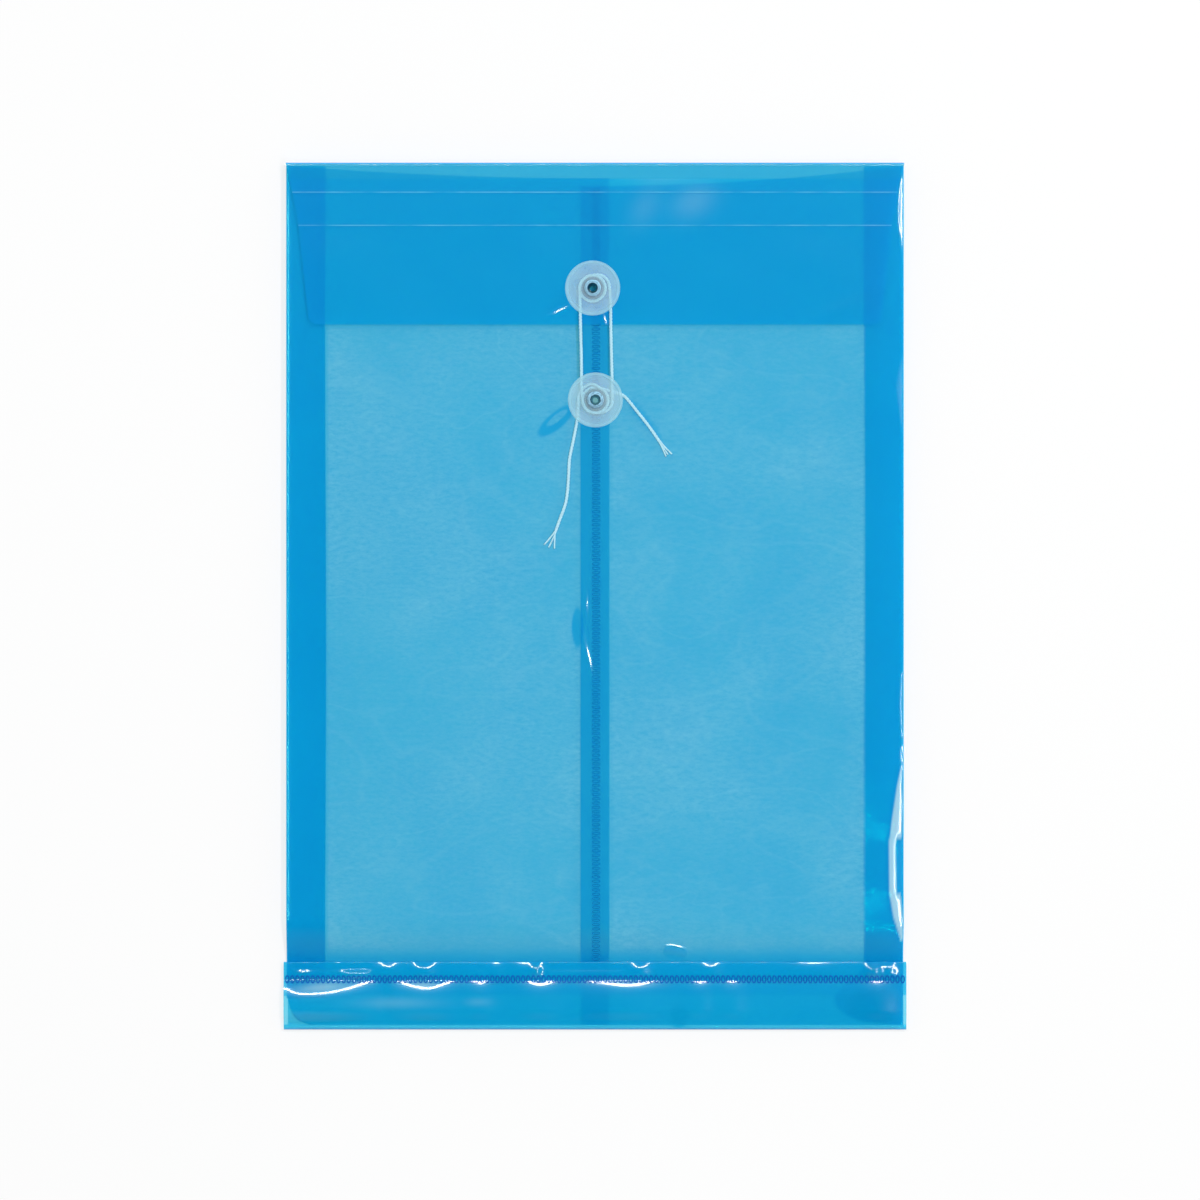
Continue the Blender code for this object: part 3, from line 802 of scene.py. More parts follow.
@dataclass
class FrontFilm:
    """The front in two halves, each rising from under the hem and bent back at the sides."""

    levels: Levels
    film: bpy.types.Material
    pocket_button: Vector
    grid: float = 1.6 * MM
    side_fold: float = 0.5 * MM
    wave: float = 0.2 * MM
    calm_reach: float = 20 * MM
    deepest_drop: float = 1.9 * MM
    mouth_drop_at_sides: float = 1.2 * MM
    left_mouth_drop: float = 6.0 * MM
    right_mouth_drop: float = 9.0 * MM
    mouth_reach: float = 20 * MM
    hole_radius: float = 2.3 * MM
    corner_reach: float = 11.0 * MM
    right_rolls: tuple[EdgeRoll, ...] = (
        EdgeRoll(
            ((129, 0.2, 0.4), (136.2, 0.2, 1.1), (142.7, 0.2, 2.2), (153.7, 0.2, 1.8), (162.1, 0.2, 0.4)),
            (0.17, 0.09),
        ),
        EdgeRoll(
            ((61, 0.2, 0.4), (67.6, 0.2, 1.6), (80.2, 0.2, 3.2), (87.1, 0.2, 1.9), (92.5, 0.2, 0.5)),
            (0.075, 0.112),
        ),
        EdgeRoll(((-53, 0.7, 0.5), (-41, 0.8, 1.1), (-29, 0.7, 0.5))),
        EdgeRoll(((-63.6, 0.6, 0.8), (-60, 0.7, 1.4), (-56.4, 0.6, 0.8))),
        # This roll also carries a painted highlight: a pale band along its lean, for the soft reflection on the
        # crushed tube.
        EdgeRoll(
            (
                (-131, 0.3, 1.2), (-122, 0.6, 3.8), (-114, 1.2, 4.6), (-112, 2.9, 3.1), (-93, 3.2, 3.0),
                (-91.2, 0.9, 4.8), (-86, 0.8, 4.4), (-79.4, 0.6, 3.6), (-72, 0.9, 2.2), (-65, 0.7, 0.9),
            ),
            (0.05, 0.13),
            blush=0.5,
        ),
    )
    dimples: tuple[Oval, ...] = (
        Oval(-15, 68, 4.8, 1.6, 38, 0.12),
        Oval(-2.9, -23.2, 1.6, 19, 14, 0.234),
        Oval(-3.5, -2.8, 1.2, 8, 0, 0.164),
    )
    ledge: Ledge = Ledge()
    clung: tuple[Oval, ...] = (
        Oval(-14.8, 66.8, 8.6, 3.1, 40, 0.9),
        Oval(-6.6, -11.8, 2.2, 7.6, 0, 0.9),
        Oval(19, 67.2, 10, 1.9, -50, 0.55),
        Oval(30.6, -135.7, 5, 3.2, -12, 0.95),
    )
    loose: Oval = Oval(-14.4, 67.9, 4.9, 1.25, 38, 0.8)

    def mouth_y(self, seam_drop: float, x: float) -> float:
        """The mouth's edge at a place across, lowest at the seam."""
        share = (x / self.levels.half_width) ** 2
        return self.levels.fold_y - mix(seam_drop, self.mouth_drop_at_sides, share)

    def height(self, side: int, x: float, y: float) -> float:
        """The height of one half's film.

        Args:
            side: -1 for the left half, 1 for the right.
            x: Place across the folder.
            y: Place up the folder.

        Returns:
            The height of its middle.
        """
        at = self.levels
        foot, top = (at.left_foot_z, at.left_front_z) if side < 0 else (at.right_foot_z, at.right_front_z)
        lift = at.lift(y)
        from_edge = min(1.0, (at.half_width - abs(x)) / self.calm_reach)
        calm = from_edge * min(1.0, abs(x - self.pocket_button.x) / self.calm_reach)
        height = mix(foot, top, lift) + self.wave * lift * calm * swell(x, y)
        if side > 0:
            drop = sum(roll.drop(at.half_width - x, y) for roll in self.right_rolls)
            height -= lift * min(self.deepest_drop, drop)
        return height + lift * MM * sum(dimple.dimple(x, y) for dimple in self.dimples) + self.ledge.at(x, y)

    def cling(self, side: int, x: float, y: float) -> float:
        """How much one half clings to the sheet behind it.

        Args:
            side: -1 for the left half, 1 for the right.
            x: Place across the folder.
            y: Place up the folder.

        Returns:
            The share, from 0 to 1.
        """
        at = self.levels
        amount = 0.85 * smooth((at.hem_edge_y + 8.5 * MM - y) / (9 * MM))
        if side > 0:
            amount = max(amount, 0.8 * smooth((0.6 * MM - at.lap - x) / (0.4 * MM)))
            amount = max(amount, *(roll.wetting(at.half_width - x, y) for roll in self.right_rolls))
        patches = max(patch.patch(x, y) for patch in self.clung) - self.loose.patch(x, y)
        return min(1.0, max(amount, patches))

    def air(self, x: float, y: float) -> float:
        """Whether only air lies between the front and the back at a place.

        Args:
            x: Place across the folder.
            y: Place up the folder.

        Returns:
            The share, from 0 to 1.
        """
        at = self.levels
        open_span = smooth((at.crease_x - abs(x)) / MM) * smooth((abs(x) - at.lap) / (0.6 * MM))
        return open_span * smooth((y - at.hem_edge_y) / (6 * MM)) * smooth((at.flap_edge_y - y) / (0.8 * MM))

    def blush(self, side: int, x: float, y: float) -> float:
        """How much painted highlight, drawn as pale film, lies on one half at a place, where it is crushed."""
        inward = self.levels.half_width - x
        return max(roll.painted_highlight(inward, y) for roll in self.right_rolls) if side > 0 else 0.0

    def build(self) -> list[bpy.types.Object]:
        """Build the left and the right half."""
        return [self.half("left", -1), self.half("right", 1)]

    def half(self, word: str, side: int) -> bpy.types.Object:
        """Build one half of the front.

        Args:
            word: left or right.
            side: -1 for the left half, 1 for the right.

        Returns:
            The film.
        """
        at = self.levels
        reach = at.half_width - self.side_fold
        close_y = ((-0.139, -0.1315, 0.2 * MM), (-0.030, -0.018, 0.6 * MM), (-0.006, 0.001, 0.6 * MM))
        close_y += ((0.058, 0.076, 0.6 * MM),)
        if side < 0:
            low_x, high_x, seam_drop = -reach, at.lap, self.left_mouth_drop
            close_x = ((-0.024, -0.0085, 0.6 * MM), (-0.0085, at.lap, 0.4 * MM))
        else:
            low_x, high_x, seam_drop = -at.lap, reach, self.right_mouth_drop
            close_x = ((-at.lap, -0.001, 0.25 * MM), (at.lap - 0.4 * MM, at.lap + 0.4 * MM, 0.2 * MM))
            close_x += ((0.025, 0.0365, 0.3 * MM), (reach - 0.0075, reach, 0.35 * MM))
        straight_to = at.fold_y - self.mouth_reach
        columns = graded(low_x, high_x, self.grid, close_x)
        rows = []
        for y in graded(at.back_low_y, at.fold_y, self.grid, close_y):
            row = []
            # The left half's foot starts further in, at its round corner.
            inset = round_off(self.corner_reach, self.corner_reach - (y - at.back_low_y)) if side < 0 else 0.0
            share = (y - straight_to) / self.mouth_reach
            for x in columns:
                if x - low_x < inset:
                    x = mix(low_x + inset, x, (x - low_x) / inset)
                place_y = y if share <= 0 else mix(straight_to, self.mouth_y(seam_drop, x), share)
                row.append(Vector((x, place_y, self.height(side, x, place_y))))
            rows.append(row)
        marks = {
            CLING: lambda x, y: self.cling(side, x, y),
            AIR: self.air,
            PALE_MARK: lambda x, y: self.blush(side, x, y),
        }
        hole = (self.pocket_button, self.hole_radius)
        film = sheet_piece(f"front_{word}_film", rows, self.film, hole, marks)
        at.hinge_at_foot(film)
        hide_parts(f"front_{word}_panel", f"front_{word}_foot")
        return film


@dataclass
class Gussets:
    """The pleats at both sides, with the round folds that join them to the back and the front."""

    levels: Levels
    film: bpy.types.Material
    front: FrontFilm
    grid: float = 2.0 * MM
    crease_gap: float = 0.35 * MM
    gap_under_hem: float = 0.25 * MM
    layer: float = 0.5 * MM
    wander: float = 0.25 * MM
    wander_length: float = 37 * MM
    right_spread: float = 11.2 * MM
    left_foot_y: float = -153.0 * MM
    foot_corner: float = 9.0 * MM
    corner_stretch: float = 2.6

    def crease_place(self, side: int, y: float) -> float:
        """How far out the inner crease lies.

        Args:
            side: -1 for the left pleat, 1 for the right, which spreads under the hem to a round corner.
            y: Place up the folder.

        Returns:
            The distance from the folder's middle.
        """
        at = self.levels
        place = at.crease_x + self.wander * math.sin(y / self.wander_length + side)
        if side < 0:
            return place
        place -= self.right_spread * smooth((at.hem_edge_y - MM - y) / (13 * MM))
        near = self.foot_corner - (y - at.back_low_y)
        return place + self.corner_stretch * round_off(self.foot_corner, near)

    def section(self, side: int, y: float) -> list[Vector]:
        """The pleat's section at one place up the folder, from the back round to the front.

        Args:
            side: -1 for the left pleat, 1 for the right.
            y: Place up the folder.

        Returns:
            The section's points.
        """
        at = self.levels
        lift = at.lift(y)
        join, outer = at.half_width - self.front.side_fold, at.half_width - 0.1 * MM
        turned = outer - 0.1 * MM
        front_z = self.front.height(side, side * join, y)
        rear_leaf = at.back_z + self.layer
        front_leaf = mix(rear_leaf + self.layer, front_z - self.layer, lift)
        crease = min(self.crease_place(side, y), outer - self.layer)
        middle = mix((rear_leaf + front_leaf) / 2, (at.back_z + front_z) / 2, lift)
        gap = mix(self.gap_under_hem, self.crease_gap, lift)
        inward = (0.04, 0.2, 0.4, 0.6, 0.8, 1.0)
        points = [(join, at.back_z), (turned, at.back_z + 0.08 * MM), (outer, (at.back_z + rear_leaf) / 2)]
        points.append((turned, rear_leaf - 0.06 * MM))
        for leaf, tip, shares in ((rear_leaf, middle - gap, inward), (front_leaf, middle + gap, inward[::-1])):
            points += [(mix(outer, crease, share), mix(leaf, tip, share)) for share in shares]
        points.append((turned, front_leaf + 0.06 * MM))
        points += [(outer, (front_leaf + front_z) / 2), (turned, front_z - 0.08 * MM), (join, front_z)]
        return [Vector((side * x, y, z)) for x, z in points]

    def build(self) -> list[bpy.types.Object]:
        """Build both pleats.

        Returns:
            The left and the right pleat.
        """
        at = self.levels
        pieces = []
        for word, side, low_y in (("left", -1, self.left_foot_y), ("right", 1, at.back_low_y)):
            high_y = at.fold_y - self.front.mouth_drop_at_sides
            close = ((at.back_low_y, at.hem_edge_y, 1.0 * MM),)
            rows = [self.section(side, y) for y in graded(low_y, high_y, self.grid, close)]
            # Columns 9 and 10 are the two sides of the inner crease.
            pleat = sheet_piece(f"{word}_gusset_film", rows, self.film, folds=(9, 10))
            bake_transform(pleat)
            leaves = [f"{word}_gusset_rear_leaf", f"{word}_gusset_front_leaf", f"{word}_gusset_front_foot"]
            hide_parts(*leaves)
            pieces.append(pleat)
        return pieces


@dataclass
class Hem:
    """The folder's foot: film folded up from the back and welded over the front, its edge turned under."""

    levels: Levels
    film: bpy.types.Material
    weld: bpy.types.Material
    grid: float = 1.0 * MM
    weld_y: float = -145.65 * MM
    weld_length: float = 2.7 * MM
    weld_width: float = 1.25 * MM
    weld_pitch: float = 1.95 * MM
    first_weld: float = 1.4 * MM
    weld_depth: float = 0.15 * MM
    swell_length: float = 11 * MM
    settle_length: float = 6.2 * MM
    low_swell: float = 0.8 * MM
    high_swell: float = 0.2 * MM
    low_puffs: tuple[Puff, ...] = (
        Puff(-109.5, 21, 1.53), Puff(-80, 2.6, -0.36), Puff(-64, 11, 0.84), Puff(-43.5, 4.6, 0.5),
        Puff(-20.6, 7.6, 0.6), Puff(12, 15, 0.66), Puff(-3, 5, 0.12), Puff(40.2, 4.4, 0.46),
        Puff(52.2, 4.8, 0.45), Puff(107.5, 5.4, 0.46),
    )
    high_puffs: tuple[Puff, ...] = (
        Puff(-110.7, 3, 0.22), Puff(-90.5, 4.6, 0.72), Puff(-78.5, 4, 0.42), Puff(-65, 4, 0.66),
        Puff(-37.5, 2.5, 0.26), Puff(-27, 4, 0.24), Puff(-22.3, 1.6, 0.8), Puff(-3, 13, 0.08),
        Puff(17.3, 3.2, 0.56), Puff(44, 4, 0.38), Puff(83, 11, 0.24), Puff(106.5, 2.8, 1.1),
        Puff(112.2, 2.4, 0.5),
    )
    pressed_spans: tuple[tuple[float, float], ...] = ((-116 * MM, -84 * MM), (-19 * MM, 12.5 * MM))
    pressed_edge: float = 2.6 * MM
    rings: tuple[Oval, ...] = (
        Oval(-44.3, -143, 2.3, 1, 0, 0.3),
        Oval(37.2, -142.8, 1.9, 1.1, 0, 0.3),
        Oval(-8, -161, 4.6, 2.3, 0, 0.45),
    )
    long_return_from: float = -92.6 * MM
    closed_end: float = 7 * MM
    clung: tuple[Oval, ...] = (Oval(32, -160, 3.2, 4.6, 0, 0.7), Oval(106, -156, 10, 6.5, 0, 0.45))
    # Pale patches under the row of welds are painted sheen: the soft glow round the puffs' highlights, drawn as
    # pale film.
    pale: tuple[Oval, ...] = (
        Oval(-103.5, -148.7, 14, 2.6, 5, 0.3),
        Oval(-65.5, -147.8, 8.5, 1.8, 0, 0.25),
        Oval(11, -147.2, 13, 1.5, -3, 0.2),
        Oval(-75, -154.6, 21, 2.9, 0, 0.09),
        Oval(-44.4, -154.3, 7, 2.2, 0, 0.07),
    )

    def cling(self, x: float, y: float) -> float:
        """How much the film clings to the next sheet at a place, most of all along its lowest line."""
        lowest = smooth((self.levels.bottom_y + 0.8 * MM - y) / (0.4 * MM))
        return max(lowest, *(patch.patch(x, y) for patch in self.clung))

    def edge_press(self, x: float) -> float:
        """How wide a strip along the hem's edge is pressed flat."""
        shares = (smooth((x - low) / 0.002) * smooth((high - x) / 0.002) for low, high in self.pressed_spans)
        return self.pressed_edge * max(shares)

    def return_y(self, x: float) -> float:
        """Where the turned-under edge ends, a little lower at the left."""
        lower = 1.2 * MM + (self.long_return_from - x) * -0.03
        return self.levels.hem_return_y - (lower if x < self.long_return_from else 0.0)

    def height(self, x: float, y: float) -> float:
        """The height of the hem's upper film.

        Args:
            x: Place across the folder.
            y: Place up the folder.

        Returns:
            The height of its middle.
        """
        at = self.levels
        pressed = at.hem_top_z - self.weld_depth + MM * sum(ring.dimple(x, y) for ring in self.rings)
        if y <= self.weld_y:
            rise = self.low_swell + sum(puff.at(x) for puff in self.low_puffs)
            rise *= mix(0.8, 1.0, smooth((at.hem_reach - abs(x)) / self.closed_end))
            share = (self.weld_y - y) / self.swell_length
            if share < 1:
                return pressed + rise * (1 - (1 - share) ** 2)
            settle = smooth((share - 1) * self.swell_length / self.settle_length)
            return mix(pressed + rise, at.hem_top_z, settle)
        rise = self.high_swell + sum(puff.at(x) for puff in self.high_puffs)
        edge = at.hem_edge_y - 0.3 * MM - self.edge_press(x)
        share = min(1.0, (y - self.weld_y) / (edge - self.weld_y))
        return mix(pressed, at.hem_top_z, share) + rise * math.sin(math.pi * share)

    def line(self, x: float) -> list[Vector]:
        """The hem's section at one place across, from the back round to its turned-under edge.

        Args:
            x: Place across the folder.

        Returns:
            The section's points.
        """
        at = self.levels
        radius = (at.hem_top_z - at.back_z) / 2
        turn_y = at.bottom_y + radius + 0.1 * MM
        edge = at.hem_edge_y - 0.35 * MM
        points = [(at.back_low_y, at.back_z)]
        for angle in map(math.radians, spaced(-90, -270, 15)):
            points.append((turn_y + radius * math.cos(angle), at.back_z + radius + radius * math.sin(angle)))
        points += [(y, self.height(x, y)) for y in spaced(turn_y + 0.5 * MM, edge, 0.5 * MM)]
        top, low = points[-1][1], at.hem_return_z
        for angle in map(math.radians, spaced(90, -90, 30)[1:]):
            z = (top + low) / 2 + (top - low) / 2 * math.sin(angle)
            points.append((edge + 0.3 * MM * math.cos(angle), z))
        points += [(mix(edge - 0.4 * MM, self.return_y(x), share), low) for share in spaced(0.0, 1.0, 0.12)]
        return [Vector((x, y, z)) for y, z in points]

    def build(self) -> list[bpy.types.Object]:
        """Build the hem and its weld.

        Returns:
            The film and the row of welds.
        """
        reach, split = self.levels.hem_reach, self.long_return_from
        stations = graded(-reach, reach, self.grid, ((split - 0.1 * MM, split + 0.1 * MM, 0.2 * MM),))
        rows = [list(row) for row in zip(*(self.line(x) for x in stations))]
        marks = {CLING: self.cling, PALE_MARK: lambda x, y: max(patch.dimple(x, y) for patch in self.pale)}
        film = sheet_piece("hem_film", rows, self.film, marks=marks)
        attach(film, "pocket")
        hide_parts("bottom_hem")
        row = spaced(self.first_weld - reach, reach - self.first_weld, self.weld_pitch)
        places, size = [(x, self.weld_y) for x in row], (self.weld_width / 2, self.weld_length / 2)
        weld = weld_row("hem_weld", places, size, self.height, self.weld)
        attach(weld, "pocket")
        return [film, weld]


def weld_row(
    name: str,
    places: list[tuple[float, float]],
    half: tuple[float, float],
    level: OverPlaces,
    material: bpy.types.Material,
) -> bpy.types.Object:
    """Make a row of oval weld marks, each a pressed bead of fused film.

    Args:
        name: The piece's name.
        places: The middle of each mark.
        half: Half of a mark's size across the folder and up it.
        level: The height of the film they are pressed in, at each place.
        material: The fused film.

    Returns:
        The row.
    """
    steps = 16
    bead, above_film = 0.21 * MM, 0.06 * MM
    # A bead's section, from its inner foot over its top to its outer foot.
    section = ((-1.2, -0.5), (-0.6, 0.35), (0.0, 0.7), (0.6, 0.35), (1.2, -0.5))
    ring = len(section)
    mesh = Mesh()
    for middle_x, middle_y in places:
        first = len(mesh.points)
        for i in range(steps):
            angle = 2 * math.pi * i / steps
            for out, up in section:
                x = middle_x + (half[0] + out * bead) * math.cos(angle)
                y = middle_y + (half[1] + out * bead) * math.sin(angle)
                mesh.points.append(Vector((x, y, level(x, y) + above_film + up * bead)))
            here, there = first + i * ring, first + (i + 1) % steps * ring
            mesh.faces += [(here + k, there + k, there + k + 1, here + k + 1) for k in range(ring - 1)]
    return mesh.piece(name, material, "film")


@dataclass
class Seam:
    """The lapped seam down the front, welded with a toothed wheel."""

    levels: Levels
    weld: bpy.types.Material
    front: FrontFilm
    weld_x: float = 0.4 * MM
    weld_length: float = 2.9 * MM
    weld_width: float = 0.95 * MM
    weld_pitch: float = 1.65 * MM
    above_hem: float = 1.0 * MM
    below_mouth: float = 1.5 * MM
    clear_of_button: float = 4.2 * MM

    def build(self) -> bpy.types.Object:
        """Build the column of welds.

        Returns:
            The welds.
        """
        at, front = self.levels, self.front
        top = at.fold_y - front.right_mouth_drop - self.below_mouth
        column = spaced(at.hem_edge_y + self.above_hem, top, self.weld_pitch)
        places = [(self.weld_x, y) for y in column if abs(y - front.pocket_button.y) > self.clear_of_button]
        size = (self.weld_length / 2, self.weld_width / 2)
        weld = weld_row("seam_weld", places, size, lambda x, y: front.height(1, x, y), self.weld)
        at.hinge_at_foot(weld)
        return weld


@dataclass
class BackAndFlap:
    """The back and the flap, one sheet that goes round the top fold and over two pressed creases."""

    levels: Levels
    film: bpy.types.Material
    creased_film: bpy.types.Material
    flap_button: Vector
    grid: float = 2.0 * MM
    strip_grid: float = 1.2 * MM
    fold_radius: float = 1.0 * MM
    corner_radius: float = 3.0 * MM
    crease_height: float = 0.015 * MM
    crease_reach: float = 0.4 * MM
    wave: float = 0.12 * MM
    hole_radius: float = 2.3 * MM
    fold_blend: float = 2.4 * MM
    score_blend: float = 1.2 * MM
    dimples: tuple[Oval, ...] = (
        Oval(-13.2, 108.2, 6.2, 0.9, 27, 0.195),
        Oval(3.2, 105.2, 6.5, 1.3, 105, 0.191),
        Oval(93, 109, 13, 3.6, 24, 0.1),
    )
    clung: tuple[Oval, ...] = (Oval(-14, 110.5, 5, 2.6, 30, 0.35), Oval(99, 109.5, 14, 5.5, 24, 0.2))
    clouds: tuple[Oval, ...] = (
        Oval(37.5, 150, 12, 8, 25, 0.085),
        Oval(19, 148, 11, 7, 60, 0.05),
        Oval(26, 160, 16, 4.5, 0, 0.06),
    )

    def blush(self, x: float, y: float) -> float:
        """How pale the flap is at a place."""
        return sum(patch.dimple(x, y) for patch in self.clouds)

    def cling(self, x: float, y: float) -> float:
        """How much the flap clings to the front at a place."""
        return max(patch.patch(x, y) for patch in self.clung)

    def half_at(self, y: float) -> float:
        """Half the flap's width, which narrows towards its edge.

        Args:
            y: Place up the folder.

        Returns:
            The half width.
        """
        at = self.levels
        marks = [
            (at.fold_y, at.half_width),
            (at.first_score_y, at.first_half),
            (at.second_score_y, at.second_half),
            (at.flap_edge_y, at.flap_edge_half),
        ]
        half = at.flap_edge_half
        for (high_y, high_half), (low_y, low_half) in zip(marks, marks[1:]):
            if y >= low_y:
                half = mix(low_half, high_half, (y - low_y) / (high_y - low_y))
                break
        half -= round_off(self.corner_radius, self.corner_radius - (y - at.flap_edge_y))
        return min(half, at.half_width)

    def flap_height(self, x: float, y: float) -> float:
        """The height of the flap's film, with its creases.

        Args:
            x: Place across the folder.
            y: Place up the folder.

        Returns:
            The height of its middle.
        """
        at = self.levels
        height = at.flap_z + MM * sum(dimple.dimple(x, y) for dimple in self.dimples)
        for crease in (at.first_score_y, at.second_score_y):
            height += self.crease_height * max(0.0, 1 - abs(y - crease) / self.crease_reach)
        calm = smooth((at.second_score_y - y) / 0.015) * min(1.0, abs(x - self.flap_button.x) / 0.02)
        return height + self.wave * calm * swell(x + 0.05, y * 1.4)

    def row(self, y: float, z: float | OverPlaces, half: float) -> list[Vector]:
        """One row of points across the sheet.

        Args:
            y: Place up the folder.
            z: The row's height, or a function that gives it.
            half: Half the sheet's width there.

        Returns:
            The row's points.
        """
        # Stations are shares of the half width, closer together round the flap's dimples.
        close = ((-0.15, 0.02, 0.0045), (0.02, 0.06, 0.002))
        across = [half * share for share in graded(-1.0, 1.0, self.grid / self.levels.half_width, close)]
        return [Vector((x, y, z(x, y) if callable(z) else z)) for x in across]

    def turn(self, middle_y: float, middle_z: float, start: float, end: float) -> list[list[Vector]]:
        """Rows round a quarter of the top fold.

        Args:
            middle_y: The quarter's middle up the folder.
            middle_z: Its height.
            start: The first angle in degrees.
            end: The last angle in degrees.

        Returns:
            The rows.
        """
        rows, radius = [], self.fold_radius
        for angle in map(math.radians, spaced(start, end, 11.25)):
            place = (middle_y + radius * math.cos(angle), middle_z + radius * math.sin(angle))
            rows.append(self.row(*place, self.levels.half_width))
        return rows

    def flap_rows(self, places: list[float]) -> list[list[Vector]]:
        """Rows of the flap at places up the folder."""
        return [self.row(y, self.flap_height, self.half_at(y)) for y in places]

    def over_score(self, piece: bpy.types.Object) -> None:
        """Bake a piece's transform into its mesh."""
        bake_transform(piece)

    def build(self) -> list[bpy.types.Object]:
        """Build the back, the top fold and the flap.

        Returns:
            The pieces, from the back to the flap's edge.
        """
        at = self.levels
        spine_y = at.fold_y - at.back_z
        bend_y = spine_y - self.fold_radius
        spine = self.row(spine_y, (at.back_z + at.flap_z) / 2, at.half_width)

        rows = []
        for y in spaced(at.back_low_y, bend_y, 4 * MM):
            opening = smooth((y - at.fold_y + 6 * MM) / (4 * MM))
            rows.append(self.row(y, at.back_z, mix(at.half_width - 0.5 * MM, at.half_width, opening)))
        rows += self.turn(bend_y, at.back_z + self.fold_radius, -90, 0)[1:]
        back = sheet_piece("back_film", rows + [spine], self.film)
        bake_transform(back)
        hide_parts("back_panel")

        crease = self.crease_reach
        first_middle = (bend_y + at.first_score_y) / 2
        second_middle = (at.first_score_y + at.second_score_y) / 2
        rows = [spine] + self.turn(bend_y, at.flap_z - self.fold_radius, 0, 90)
        rows += self.flap_rows(spaced(bend_y - crease, first_middle, 1 * MM))
        fold = sheet_piece("top_fold_film", rows, self.film)
        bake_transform(fold)
        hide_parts("flap_spine")

        over_first, over_second = (
            spaced(middle, score + crease, self.strip_grid) + [score + crease / 2, score, score - crease / 2]
            for middle, score in ((first_middle, at.first_score_y), (second_middle, at.second_score_y))
        )
        rows = self.flap_rows(over_first + spaced(at.first_score_y - crease, second_middle, self.strip_grid))
        first = sheet_piece("first_crease_film", rows, self.creased_film, marks={PALE_MARK: self.blush})
        self.over_score(first)
        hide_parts("flap_first_strip")

        low_y, high_y = at.flap_edge_y + self.corner_radius, at.second_score_y - crease
        lower = graded(low_y, high_y, self.strip_grid, ((0.1064, 0.111, 0.5 * MM),))[::-1]
        corner = [low_y - self.corner_radius * math.sin(math.radians(15 * i)) for i in range(1, 7)]
        hole = (self.flap_button, self.hole_radius)
        marks = {CLING: self.cling, PALE_MARK: self.blush}
        rows = self.flap_rows(over_second + lower + corner)
        panel = sheet_piece("flap_film", rows, self.creased_film, hole, marks)
        self.over_score(panel)
        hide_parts("flap_second_strip", "flap_panel")
        return [back, fold, first, panel]


class ButtonPlace(Enum):
    """The two places where a button is riveted on, with the bodies of its eyelet and its disc."""

    FLAP = ("flap", "flap", "flap_button")
    POCKET = ("pocket", "front", "pocket_button")


